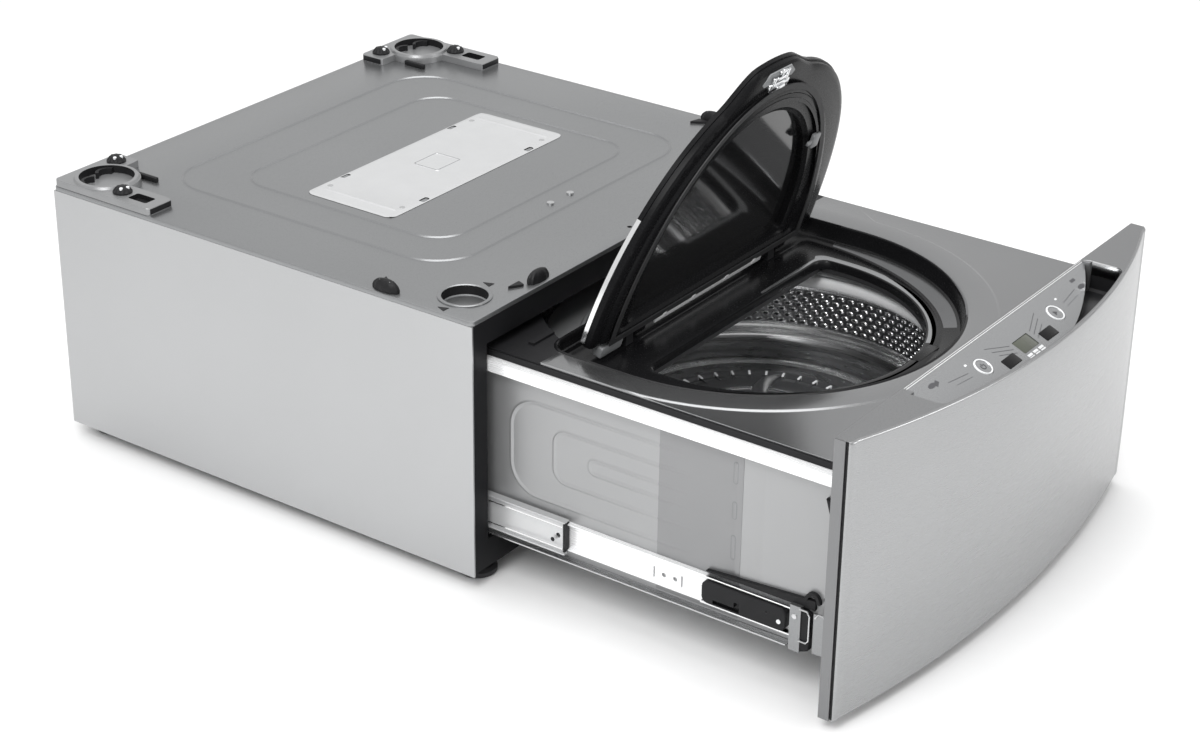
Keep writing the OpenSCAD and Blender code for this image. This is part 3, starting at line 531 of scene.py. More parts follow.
# ---------------------------------------------------------------- deck and seat
def make_deck():
    bm = bmesh.new()
    outer = subdivide(rect(-301, 301, -459.6, -62.3), 40)
    # the seat's rings run off the deck, so they go in as open arcs
    arcs = [[p for p in seat_loop(d) if abs(p[0]) < 300.5 and -459 < p[1] < -62.8]
            for d in (34, 35, 36.5, 38, 39, 3, 6)]

    def height(x, y):
        d = (hypot(x - TUB_X, y - SEAT_Y) if y < SEAT_Y else abs(x - TUB_X)) - SEAT_R
        return DECK_Z + 1.5 * (1 - smooth(34, 39, d)) - 1.2 * (1 - smooth(1, 5, d))

    sheet(bm, outer, [seat_loop(1.2)], [], height, arcs=arcs)
    loft(bm, [level(outer, height), [W(x * 0.999, y, 274.6) for x, y in outer]])
    for s in (-1, 1):
        rounded_box(bm, s * 299.6 - 0.8, s * 299.6 + 0.8, -456, -66, 267.3, 275, 0.7)
    finish_mesh(bm, "deck_top", DECK_GREY, "drawer", ["deck_panel"], 30, 2e-5)


make_deck()

SEAT_CENTRE = (TUB_X, -225.0)


def make_seat():
    bm = bmesh.new()

    def closed_lid(grow):
        return [(x + TUB_X, -82 - v) for x, v in lid_loop(grow)]

    wall = ((2.2, 276.9), (0.6, 278.3), (-0.8, 278.4), (-2.2, 277.2), (-3.0, 274), (-4.5, 262),
            (-6.5, 258.6), (-10, 257.4))
    ledge = ((1.5, 257.2), (0.2, 256.2), (-2, 256.1), (-3.4, 256.7), (-12, 256.7))
    rim = ((12, 256.7), (7, 256.7), (3, 256.5), (1, 255.6), (0, 253), (-0.5, 246.6))
    rings = [(outline(grow), z) for outline, steps in
             ((seat_loop, wall), (closed_lid, ledge), (opening_loop, rim)) for grow, z in steps]
    mats = [1, 1, 1, 0, 0, 0, 0, 1, 0, 0, 0, 0, 0, 2, 2, 0, 0, 0]
    loft(bm, [level(polar(loop, SEAT_CENTRE, 240), z) for loop, z in rings], mats=mats)
    # the left and rear parts of the seat's grey bands are turned black, a painted shade and a
    # painted reflection of the black lid; the grey shows on the right and at the front only
    shade_painted_left_of, shade_painted_behind = {0: 110, 1: 110, 2: 60}, -130 + Y0 * 1000
    for face in bm.faces:
        c = face.calc_center_median() * 1000
        if c.x - TUB_X < shade_painted_left_of[face.material_index] or c.y > shade_painted_behind:
            face.material_index = 0
    rounded_box(bm, -7, 39, -375, -362, 254, 257.2, 1.5)
    rounded_box(bm, 30, 66, -399, -388, 254, 258.5, 3)
    finish_mesh(bm, "lid_seat_moulding", [GLOSS, SEAT_DARK, RIM_GREY], "drawer",
                ["lid_seat"], 40)


make_seat()


# ---------------------------------------------------------------- basket and drive
def make_basket():
    bm = bmesh.new()
    # solid bands of the drum: upper edge, lower wall, stepped bottom
    lathe(bm, [(234.2, 198), (234.2, 194), (DRUM_R, 192), (DRUM_R, 190)], SPIN, 180)
    lower = [(DRUM_R, 142), (DRUM_R, 138), (234.6, 136.5), (234.6, 130), (233, 124), (228, 117.5),
             (221, 113.4), (214, 111.6), (207, 111.2), (204, 109.4), (198, 109.0),
             (194, 110.6), (186, 110.6), (182, 109), (170, 108.4), (150, 108), (120, 107.6)]
    # the bottom's rounded corner and its inner floor carry bands of painted shade
    lathe(bm, lower, SPIN, 180, mats=[0] * 4 + [1] * 6 + [0] * 3 + [1] * 3)
    # perforated band: each cell has a dimpled hole; its outer part and its lip carry painted
    # shade, so that the plain steel ring between them shows as a bright spot
    cols, rows = 108, 6
    z_low, z_high = 142.0, 190.0
    dz = (z_high - z_low) / rows
    half_a = pi / cols
    corners = [(1, 0), (1, 1), (0, 1), (-1, 1), (-1, 0), (-1, -1), (0, -1), (1, -1)]
    cell = [(corners, DRUM_R)] + [(circle_loop(0, 0, size, 8), DRUM_R - depth) for size, depth
                                  in ((0.74, 0), (0.48, 1.5), (0.33, 0.4))]
    for j in range(rows):
        z_mid = z_low + (j + 0.5) * dz
        for i in range(cols):
            a_mid = (i + 0.5 + 0.5 * (j % 2)) * 2 * half_a

            def at(u, v, r):
                a = a_mid + u * half_a
                return W(SPIN[0] + r * cos(a), SPIN[1] + r * sin(a), z_mid + v * dz / 2)

            loft(bm, [level(loop, r, at) for loop, r in cell], mats=(1, 0, 1))
    finish_mesh(bm, "basket_drum", [DRUM, DRUM_PAINTED_SHADE], "basket", ["basket"], 50,
                2e-6)


make_basket()


def make_balance_ring():
    bm = bmesh.new()
    lathe(bm, [(233, 198.4), (231, 198.6), (218, 203), (213.6, 208), (212.4, 214), (213.4, 218),
               (217, 220), (234, 220), (238.6, 217), (238.8, 202), (236, 198.6)],
          SPIN, 160, close=True)
    finish_mesh(bm, "balance_ring_moulding", RING_GREY, "basket",
                ["balance_ring"], 50)


make_balance_ring()


def spoke(a):
    """Frame that runs out from the spin axis at angle a."""
    c, s = cos(a), sin(a)
    return lambda u, v, z: W(SPIN[0] + u * c - v * s, SPIN[1] + u * s + v * c, z)


def make_pulsator():
    bm = bmesh.new()
    profile = [(152, 112), (151, 115), (147, 116.4), (141, 116.6), (138, 114.8), (133, 114.6),
               (129, 117.4), (118, 118.6), (112, 117.2), (96, 118), (90, 120.4), (84, 121),
               (78, 119.6), (62, 121.6), (50, 125), (42, 127.4), (34, 127), (30, 128.6),
               (16, 130.6), (0.5, 131)]
    lathe(bm, profile, SPIN, 120)
    ribs, vanes, steps = 40, 4, 12
    for i in range(ribs):
        place = spoke(2 * pi * i / ribs)
        rounded_box(bm, 118, 136, -1.5, 1.5, 113.6, 119.4, 1.0, to=place)
        rounded_box(bm, 129, 138.8, -1.4, 1.4, 113.8, 120.4, 0.8, 1, to=place)
    for i in range(vanes):
        place = spoke(radians(90 * i + 20))
        rings = []
        for k in range(steps + 1):
            u = 42 + (134 - 42) * k / steps
            bend = 14 * sin(pi * k / steps)
            half = 4 + 8 * sin(pi * min(k / steps + 0.12, 1))
            top = 118 + 12.5 * sin(pi * (0.15 + 0.8 * k / steps))
            rings.append([place(u, bend + t * half, 116 + (top - 116) * (1 - t * t) ** 0.7)
                          for t in [-1 + m / 4 for m in range(9)]])
        loft(bm, rings, close=False)
    finish_mesh(bm, "pulsator_disc", [DISC_DARK, PRINT_LIGHT], "pulsator",
                ["pulsator"], 40)


make_pulsator()


def make_pulsator_cap():
    bm = bmesh.new()
    lathe(bm, [(27, 129), (27.5, 131.6), (24, 132.8), (21, 131.6), (0.4, 132)], SPIN, 64)
    lathe(bm, [(92, 120.3), (92, 121.6), (88.5, 122.2), (85, 121.6), (85, 120.3)], SPIN, 120)
    finish_mesh(bm, "pulsator_trim", CHROME, "pulsator")


make_pulsator_cap()


# ---------------------------------------------------------------- lid
def lid_ring(loop, w, n=240):
    return [L(x, v, w) for x, v in polar(loop, LID_CENTRE, n)]


def lid_outer_loop(grow):
    """Lid outline with the tab at its free end."""
    out = []
    for x, v in subdivide(lid_shape(grow), 5):
        if v > 150 and abs(x) < 90:
            lift = 1 - smooth(34, 90, abs(x))
            v += max(0, 317.5 + grow - 0.0022 * x * x - v) * lift
        if v < 17 and abs(abs(x) - 150) < 11:
            v = 17
        out.append((x, v))
    return out


def make_lid_frame():
    bm = bmesh.new()
    pane_lip = ((0, 24, 8.6), (6, 19, 9.0), (9, 16, 9.8))
    outside = ((-6, 10.4), (-2.6, 10.2), (-1.5, 9.2), (-1.4, 4.0), (-2.2, -1.0), (-4.5, -3.4),
               (-10, -4.6))
    seal = ((-15, 16.4, -5.4), (-17.5, 17, -8.6), (-20, 17.6, -9.6), (-25, 18.6, -9.8),
            (-27, 19, -8.2), (-30, 19.6, -8.2), (-32, 20, -9.9), (-36, 20.6, -9.9))
    pane = ((26, 21.2, -8.8), (22, 21.8, -6.4), (10, 22.5, -5.6), (6, 23, -5.8),
            (3.5, 23.4, -3.6), (0, 24, -2.2), (0, 24, 8.6))
    rings = [(behind(*PANE, grow, rear), w) for grow, rear, w in pane_lip]
    rings += [(lid_outer_loop(grow), w) for grow, w in outside]
    rings += [(behind(*SEAL, grow, rear), w) for grow, rear, w in seal]
    rings += [(behind(*PANE, grow, rear), w) for grow, rear, w in pane]
    loft(bm, [lid_ring(loop, w) for loop, w in rings])
    # knuckles round the hinge pins
    for x in (-150, 150):
        for s in (-1, 1):
            x0 = x + s * 20 - 11
            rows = [[L(x0 + dx, v, w) for v, w in circle_loop(0, 0, r, 24)]
                    for dx, r in ((0, 6.5), (0.8, 7.8), (21.2, 7.8), (22, 6.5))]
            loft(bm, rows, True, True, True)
    finish_mesh(bm, "lid_shell", LID_BLACK, "lid", ["lid_frame"], 34)


make_lid_frame()


def make_lid_window():
    bm = bmesh.new()
    n = 200
    rings = [lid_ring(window_loop(5.5), 5.4, n), lid_ring(window_loop(5.5), 8.4, n),
             lid_ring(window_loop(3), 8.8, n)]
    loft(bm, rings)
    for w, flip in ((8.8, 1), (5.4, 0)):
        loop = window_loop(3) if flip else window_loop(5.5)
        ring = [bm.verts.new(p) for p in lid_ring(loop, w, n)]
        centre = bm.verts.new(L(0, LID_CENTRE[1], w + (1.2 if flip else 0)))
        for i in range(n):
            bm.faces.new((ring[i], ring[(i + 1) % n], centre))
    finish_mesh(bm, "lid_glass", GLASS, "lid", ["lid_window"], 40)


make_lid_window()


def make_lid_trim():
    bm = bmesh.new()
    n = 240
    outer = polar(lid_outer_loop(0.4), LID_CENTRE, n)
    inner = polar(lid_outer_loop(-1.3), LID_CENTRE, n)
    idx = [i for i in range(n) if outer[i][1] > 17.5 or
           (outer[i][1] > 12 and abs(outer[i][0]) > 200)]
    start = next(i for i in range(n) if i in idx and (i - 1) % n not in idx)
    order = [(start + k) % n for k in range(len(idx))]
    rows = []
    for i in order:
        (xo, vo), (xi, vi) = outer[i], inner[i]
        rows.append([L(xi, vi, 4.6), L(xo, vo, 5.0), L(xo, vo, 10.2), L(xi * 0.996, vi, 10.9),
                     L(xi * 0.990, vi * 0.994, 10.6)])
    # chrome only on the left lower part of the lid's edge trim: a painted highlight
    bright = [1 if outer[i][0] < 0 and outer[i][1] < 172 else 0 for i in order]
    loft(bm, rows, close=False, mats=bright)
    finish_mesh(bm, "lid_edge_trim", [LID_BLACK, CHROME], "lid", ["lid_trim"], 50)


make_lid_trim()


# ---------------------------------------------------------------- front panel
BOW_TOP, BOW_BOTTOM, SKIN_Y = 62.0, 38.0, -478.0
PANEL_LOW, PANEL_TOP = -5.0, 329.0


def bow(s, z):
    """Point (x, depth) of the bowed front at height z; s runs from -1 to 1 across it."""
    t = (z - PANEL_LOW) / (PANEL_TOP - PANEL_LOW)
    radii = [(HALF ** 2 + sag * sag) / (2 * sag) for sag in (BOW_TOP, BOW_BOTTOM)]
    turn = asin(HALF / radii[0]) * s
    x_top, x_low = [max(-HALF, min(HALF, r * sin(turn))) for r in radii]
    top = sqrt(radii[0] ** 2 - x_top * x_top) - (radii[0] - BOW_TOP)
    low = sqrt(radii[1] ** 2 - x_low * x_low) - (radii[1] - BOW_BOTTOM)
    return x_top * t + x_low * (1 - t), top * t + low * (1 - t)


def bow_depth(x, z):
    """Depth of the bowed front at x, found between the two nearest steps of bow()."""
    low, high = -1.0, 1.0
    for _ in range(40):
        mid = (low + high) / 2
        if bow(mid, z)[0] < x:
            low = mid
        else:
            high = mid
    return bow((low + high) / 2, z)[1]


POCKET_HALF = 213.0
END = 11.0                        # width of the rounding at the panel's ends


def make_skin():
    bm = bmesh.new()
    r, flat = 3.0, HALF - END
    turn = [radians(90 * k / 4) for k in range(5)]
    profile = [(r * (1 - sin(a)), PANEL_LOW + r * (1 - cos(a))) for a in turn]
    profile += [(0.0, PANEL_LOW + r + (PANEL_TOP - PANEL_LOW - 2 * r) * k / 18)
                for k in range(1, 18)]
    profile += [(r * (1 - cos(a)), PANEL_TOP - r + r * sin(a)) for a in turn]
    xs = [-HALF + END * (1 - cos(pi / 2 * k / 8)) for k in range(8)]
    xs += [-flat + 2 * flat * i / 110 for i in range(111)]
    xs += [-x for x in xs[7::-1]]

    def front(x, z):
        if abs(x) <= flat:
            return SKIN_Y - bow_depth(x, z) - 0.25
        u = (abs(x) - flat) / END
        return SKIN_Y - (bow_depth(flat, z) + 0.25) * sqrt(max(0, 1 - u * u))

    rows = [[W(x, min(front(x, z) + inset, SKIN_Y + 1), z) for x in xs] for inset, z in profile]
    loft(bm, rows, close=False)
    # return edges of the skin on both sides
    for s in (0, -1):
        side = [Vector(row[s]) for row in rows]
        back = [W(HALF if s else -HALF, SKIN_Y + 0.9, z) for _, z in profile]
        loft(bm, [side, back], close=False)
    edge = [(x, min(front(x, PANEL_TOP) + r, SKIN_Y + 1)) for x in xs]
    outer = edge + [(HALF, -460.3), (-HALF, -460.3)]
    sheet(bm, outer, [pocket_loop(4.4)], [], lambda x, y: PANEL_TOP, mat=1)
    finish_mesh(bm, "bowed_skin", [SKIN, PANEL_TOP_GREY], "drawer",
                ["front_skin"], 40,
                5e-5)


def pocket_loop(inset):
    """Outline of the hand pocket in plan, with rounded front corners."""
    half, corner, steps, rear = POCKET_HALF + 4.4 - inset, 12.0, 60, -463.4
    flat = half - corner
    turn_y = SKIN_Y - bow_depth(flat, PANEL_TOP) + inset
    xs = [(-1 + 2 * i / steps) * flat for i in range(steps + 1)]
    front = [(x, SKIN_Y - bow_depth(x, PANEL_TOP) + inset) for x in xs]
    right = [(flat + corner * sin(radians(a)), turn_y + corner * (1 - cos(radians(a))))
             for a in range(15, 91, 15)]
    right += [(half, -470), (half - 4, rear)]
    return front + right + [(-x, y) for x, y in right[::-1]]


make_skin()


def make_pocket():
    bm = bmesh.new()
    bands = [(4.4, 329.0), (4.9, 327.6), (4.9, 316.0), (5.2, 312.0), (5.6, 296.0), (9.0, 293.0)]
    rings = [level(pocket_loop(d), z) for d, z in bands]
    loft(bm, rings, True, False, True)
    # the chrome along the pocket's top edge and the upper ends of its walls is a painted highlight
    for face in bm.faces:
        c = face.calc_center_median()
        z = (c.z - Z0) * 1000
        ends = abs(c.x * 1000) > POCKET_HALF - 14
        face.material_index = 1 if z > 327.5 or (ends and z > 313) else 0
    finish_mesh(bm, "hand_pocket_lining", [BLACK, CHROME], "drawer",
                ["handle_pocket"], 40)


make_pocket()


def make_seam():
    """Dark edge between the pan and the skin, which hides the core behind it."""
    bm = bmesh.new()
    y0, y1 = SKIN_Y + 0.4, SKIN_Y + 4.6
    low, top = PANEL_LOW + 1.2, PANEL_TOP - 1.0
    rounded_box(bm, -335, 335, y0, y1, low, low + 6, 1.2)
    for k in (-1, 1):
        for x0, x1, z0 in ((336, 341.8, low), (218, 335.6, top - 6)):
            rounded_box(bm, min(k * x0, k * x1), max(k * x0, k * x1), y0, y1, z0, top, 1.2)
    finish_mesh(bm, "panel_seam", BLACK, "drawer", ["panel_core"], 40)


make_seam()

# fascia frame: u sideways, v down the slope from the rear edge, w above it
FASCIA_Y, FASCIA_Z, FASCIA_TILT = -462.5, 327.8, radians(23)
BUTTON_U, BUTTON_V = 85, 31


def F(u, v, w):
    c, s = cos(FASCIA_TILT), sin(FASCIA_TILT)
    return W(u, FASCIA_Y - v * c - w * s, FASCIA_Z - v * s + w * c)


def fascia_front(u, grow):
    """Distance down the slope of the fascia's curved front edge."""
    half, sag = 207.0 + grow, 57.0 + grow
    r = (half * half + sag * sag) / (2 * sag)
    return (sqrt(max(r * r - u * u, 0)) - (r - sag)) / cos(FASCIA_TILT)


def fascia_edge(u):
    """Front edge of the fascia, which reaches the pocket's wall at the left end."""
    edge = fascia_front(u, 6) - 1.2
    y = SKIN_Y - bow_depth(u, PANEL_TOP) + 6.2
    if u < -199:
        y += 11 - sqrt(max(0, 121 - (u + 199) ** 2))
    wall = (FASCIA_Y - y) / cos(FASCIA_TILT)
    return edge + (wall - edge) * smooth(-30, -110, u)


def make_fascia():
    bm = bmesh.new()
    us = [-209.5 + 414.5 * i / 84 for i in range(85)]
    outer = [(u, fascia_edge(u)) for u in us] + [(205, 1.0), (-209.5, 1.0)]
    holes = [circle_loop(s * BUTTON_U, BUTTON_V, 12.3, 40) for s in (-1, 1)]
    holes += [rr_loop(-17, 17, 29, 48, 1.5, 3)]
    holes += [rr_loop(30, 58, 38, 52, 1.2, 3), rr_loop(-58, -30, 38, 52, 1.2, 3)]
    sheet(bm, outer, holes, [], lambda u, v: 0.0, to=F)
    for hole in holes:
        loft(bm, [level(hole, 0, F), level(hole, -3, F)])
    edges = ((1, 0, 0), (1.0025, 0.6, -0.5), (1.003, 0.8, -1.4), (1.003, 0.8, -6))
    loft(bm, [[F(u * wide, v + (out if v > 2 else 0), w) for u, v in outer]
              for wide, out, w in edges])
    finish_mesh(bm, "control_fascia_plate", FASCIA, "drawer",
                ["control_fascia"], 35, 2e-5)


make_fascia()


def make_prints():
    """Plain lines, keys' lamps and marks on the fascia; nothing is lettering."""
    dark, light = bmesh.new(), bmesh.new()

    def bar(bm, u0, v0, u1, v1, width, w=0.12):
        prism(bm, stroke(u0, v0, u1, v1, width), 0.02, w, F)

    for s in (-1, 1):
        for k, v in enumerate((12, 18, 24)):
            bar(dark, s * 24, v + 18, s * (58 - 4 * k), v + 18 - 14 + 2 * k, 0.8)
        bar(dark, s * 112, 27, s * 148, 22, 0.7)
        bar(dark, s * 112, 33, s * 142, 30, 0.5)
    for u0, v0 in ((-170, 14), (163, 24)):
        prism(dark, arc(u0, v0, 7, 3, range(0, 360, 15)), 0.02, 0.3, F)
    bar(dark, -158, 13, -166, 17, 5)
    bar(dark, 156, 12, 166, 12, 4)
    bar(light, -106, 18, -102, 18, 2.4)
    bar(light, 106, 18, 110, 18, 2.4)
    for k in range(3):
        for j in range(2):
            u0 = -17.5 + 12.6 * k
            bar(light, u0, 52.4 + j * 4.2, u0 + 9.4, 52.4 + j * 4.2, 3.2, 0.3)
    finish_mesh(dark, "fascia_marks", PRINT_DARK, "drawer")
    finish_mesh(light, "fascia_lamps", PRINT_LIGHT, "drawer")
    bm = bmesh.new()
    rounded_box(bm, -206, 206, -1.6, 1.3, -1.5, 0.9, 0.8, to=F)
    finish_mesh(bm, "fascia_rear_strip", RAIL_WHITE, "drawer")


make_prints()


def make_display():
    bm = bmesh.new()
    rounded_box(bm, -16.7, 16.7, 29.3, 47.7, -2.4, -0.5, 1.2, to=F)
    finish_mesh(bm, "display_pane", DISPLAY, "drawer", ["display_window"], 40)


make_display()


def make_button(u0, name, node, power):
    bm = bmesh.new()
    profile = [(11.9, -6), (11.9, -0.4), (11.6, 0.5), (11, 1.0), (10.2, 1.0), (9.6, 0.4),
               (9.2, -0.1), (6, 0.1), (0.3, 0.25)]
    mats = [0, 0, 0, 0, 0, 1, 1, 1]
    loft(bm, [level(circle_loop(u0, BUTTON_V, r, 48), w, F) for r, w in profile],
         True, True, True, mats=mats)
    # a ring with a stroke on the power key, and a triangle on the start key
    if power:
        ring = [(3.4 * sin(radians(a)), -3.4 * cos(radians(a))) for a in range(40, 321, 20)]
        glyph = [stroke(*p, *q, 0.9) for p, q in zip(ring, ring[1:])]
        glyph.append(rect(-0.4, 0.4, -4.4, -0.6))
    else:
        glyph = [[(-2.4, -3.2), (3.4, 0), (-2.4, 3.2)]]
    for loop in glyph:
        prism(bm, [(u0 + a, BUTTON_V + b) for a, b in loop], 0.2, 0.5, F, 2)
    finish_mesh(bm, name, [PRINT_LIGHT, FASCIA, PRINT_DARK], node, [node], 35)


make_button(-BUTTON_U, "power_push", "power_button", True)
make_button(BUTTON_U, "start_push", "start_button", False)


def make_key(u0, u1, name, node):
    bm = bmesh.new()
    rounded_box(bm, u0, u1, 38.3, 51.7, -6, 0.7, 1.0, to=F)
    finish_mesh(bm, name, GLOSS, node, [node], 35)


make_key(-57.7, -30.3, "cycle_touch_key", "cycle_key")
make_key(30.3, 57.7, "temp_touch_key", "temp_key")


# ---------------------------------------------------------------- fittings on the top
def make_access_plate():
    bm = bmesh.new()
    plate = x0, x1, y0, y1 = -174, 174, 255, 391
    outer = subdivide(rr_loop(*plate, 12, 6), 30)
    corners = [(x, y) for x in (-112, 98) for y in (257, 382)]
    slots = [rr_loop(x, x + 14, y, y + 7, 2, 3) for x, y in corners]
    ring = (-24, 24, 305, 345, 4)
    bead = (151.2, 152.8, 268, 378, 0.6)
    guides = [subdivide(rr_loop(*grown(ring, d), max(ring[4] + d, 1), 5), 20)
              for d in (0.5, -0.6, -1.8, -3)]
    for box in ((-bead[1], -bead[0]) + bead[2:], bead):
        for d in (2, 0.8, -0.3):
            guides.append(subdivide(rr_loop(*grown(box, d), max(bead[4] + d, 0.3), 3), 20))

    def height(x, y):
        z = TOP + 1.4 - (1 - smooth(0, 5, min(x1 - abs(x), y - y0, y1 - y)))
        z += 1 - smooth(-0.8, 1.8, rr_distance(abs(x), y, *bead))
        return z + 1.1 * (1 - smooth(0, 1.6, abs(rr_distance(x, y, *ring) + 1.2)))

    guides += [rr_loop(*grown(plate, -d), 10, 5) for d in (2, 4, 6)]
    sheet(bm, outer, slots, guides, height,
          mat_at=lambda x, y: 1 if -1.8 < rr_distance(x, y, *ring) < -0.6 else 0)
    # the plate's edge is black: a painted shadow along its front and left sides
    loft(bm, [level(outer, height), level(outer, 323.9)], mat=2)
    for x, y in corners:
        rounded_box(bm, x + 1, x + 13, y + 1, y + 6, 323.6, 324.6, 1, 1)
    finish_mesh(bm, "access_cover", [PLATE_WHITE, GREY_PLASTIC, BLACK], "cabinet",
                ["access_plate"], 30, 2e-5)


make_access_plate()


def mirrored(sign):
    return lambda x, y, z: W(sign * x, y, z)


def ribbed_dome(bm, put, centre, size, profile, ribs, points, mat):
    """Ovals in a stack; profile gives each one's share of size, z and depth of rib."""
    rings = []
    for share, z, depth in profile:
        ring = []
        for i in range(points):
            t = 2 * pi * i / points
            w = 1 + depth * cos(ribs * t)
            ring.append(put(centre[0] + size[0] * share * w * cos(t),
                            centre[1] + size[1] * share * w * sin(t), z))
        rings.append(ring)
    loft(bm, rings, True, False, True, mat)


def make_rear_retainer(sign, name):
    bm = bmesh.new()
    put = mirrored(sign)
    centre = (-315.0, 615.0)
    cup_x, cup_y = -301, 600
    loops = [rr_loop(-342, -301, 490, 648, 5, 5), rr_loop(-342, -235, 610, 648, 5, 5),
             circle_loop(cup_x, cup_y, 41, 72)]
    outline = [max(points, key=lambda q: dist(q, centre))
               for points in zip(*[polar(loop, centre, 260) for loop in loops])]
    cup = circle_loop(cup_x, cup_y, 34, 60)
    slot = rr_loop(-331, -313, 505, 535, 3, 4)
    guides = [circle_loop(cup_x, cup_y, r, 60) for r in (35, 38.5, 40.2)]

    def height(x, y):
        return 333 + 3 * (1 - smooth(38.4, 40.3, hypot(x - cup_x, y - cup_y)))

    sheet(bm, outline, [cup, slot], guides, height, to=put)
    grow = [(centre[0] + (x - centre[0]) * 1.006, centre[1] + (y - centre[1]) * 1.006)
            for x, y in outline]
    loft(bm, [level(outline, height, put), level(grow, lambda x, y: height(x, y) - 0.8, put),
              level(grow, 324.1, put)])
    loft(bm, [level(cup, 336, put), level(cup, 326.3, put)], mat=1)
    bm.faces.new([bm.verts.new(p) for p in level(cup, 326.3, put)])
    prism(bm, slot, 333, 327, put, 1)
    # wavy black hook in the cup and rubber ends of the arms
    for cx, cy, r, a0, a1 in ((-318, 606, 15, 40, 175), (-288, 612, 15, 20, 150)):
        turn = range(a0, a1, 8)
        loop = arc(cx, cy, r, r, turn) + arc(cx, cy, r - 4, r - 4, turn)[::-1]
        prism(bm, loop, 326.3, 334, put, 1)
    rounded_box(bm, -339, -304, 488.8, 491.4, 325, 332, 1, 1, to=put)
    rounded_box(bm, -236.4, -233.8, 614, 645, 325, 332, 1, 1, to=put)
    rounded_box(bm, -262, -256, 556, 590, 324, 330, 2, 1, to=put)
    knob = ((12, 332.6, 0), (12, 335, 0), (10.5, 336.5, 0.07), (9.6, 338, 0.07), (8, 340, 0.07),
            (5, 341.2, 0.07), (1, 341.4, 0))
    for kx, ky in ((-255, 630), (-322, 552)):
        ribbed_dome(bm, put, (kx, ky), (1, 1), knob, 8, 48, 1)
        for dx, dy in ((-6, -4), (2, -7)):
            rounded_box(bm, kx + dx - 2, kx + dx + 2, ky + dy - 2, ky + dy + 2, 338, 341.6, 1.4,
                        2, to=put)
    finish_mesh(bm, name, [GREY_PLASTIC_LIGHT, BLACK, PRINT_LIGHT], "cabinet",
                ["rear_retainers"], 35, 2e-5)


make_rear_retainer(-1, "rear_retainer_b")
make_rear_retainer(1, "rear_retainer_a")


def make_front_retainers():
    bm = bmesh.new()
    for s in (-1, 1):
        lathe(bm, [(31.5, 324.1), (31.4, 325.2), (30.4, 325.9), (28, 325.9), (26.7, 325),
                   (26.5, 323), (26.5, 314), (25.5, 312.6), (23, 312.2), (0.5, 312.2)],
              (s * 292, 50), 72, mats=[0, 0, 0, 0, 2, 2, 1, 0, 0])
        for dx in (-41, 41):
            tri = [(s * 292 + dx - 5, 44), (s * 292 + dx + 5, 44), (s * 292 + dx, 56)]
            prism(bm, tri, TOP, TOP + 0.5, mat=2)
        put = mirrored(s)
        clip(bm, put, 333, 130, True)
        clip(bm, put, 208, 11, False)
    finish_mesh(bm, "front_retainer_cups", [TOP_GREY, GREY_PLASTIC, BLACK, PRINT_LIGHT],
                "cabinet", ["front_retainers"], 35)


def clip(bm, put, cx, cy, along_side):
    """Plastic hook: a ribbed dome with two light inserts, and beside it a black wedge that is a
    painted shadow.
    """
    dome = ((1, 324, 0.05), (1, 328, 0.05), (0.9, 332, 0.05), (0.7, 335.4, 0.05),
            (0.4, 337.2, 0.05), (0.1, 337.8, 0.05))
    ribbed_dome(bm, put, (cx, cy), (7.5, 18) if along_side else (18, 7), dome, 10, 40, 2)
    for d in (-6, 6):
        x, y = (cx, cy + d) if along_side else (cx + d, cy)
        rounded_box(bm, x - 2.8, x + 2.8, y - 2.8, y + 2.8, 332, 336.8, 2, 3, to=put)
    # the black wedge beside the dome is a painted shadow
    if along_side:
        shadow_plate = [(cx - 9, cy + 16), (cx - 24, cy + 20), (cx - 9, cy - 4)]
    else:
        shadow_plate = [(cx + 24, cy + 2), (cx + 40, cy + 12), (cx + 20, cy + 12)]
    prism(bm, shadow_plate, TOP, TOP + 3, put, 2)


make_front_retainers()


# ---------------------------------------------------------------- slides and drawer fittings
def tube_path(bm, pts, r, n=8):
    """Round wire through a list of world points."""
    rings = []
    for i, p in enumerate(pts):
        a = pts[max(i - 1, 0)]
        b = pts[min(i + 1, len(pts) - 1)]
        d = (b - a).normalized()
        u = d.cross(Vector((1, 0, 0)))
        if u.length < 0.2:
            u = d.cross(Vector((0, 0, 1)))
        u.normalize()
        v = d.cross(u)
        rings.append([p + (u * cos(2 * pi * k / n) + v * sin(2 * pi * k / n))
                      * r / 1000 for k in range(n)])
    loft(bm, rings, True, True, True)


def side_prism(bm, put, loop, x0, x1, mat=0):
    """Closed outline in y and z, drawn between two x planes."""
    prism(bm, loop, x0, x1, lambda y, z, x: put(x, y, z), mat, True)


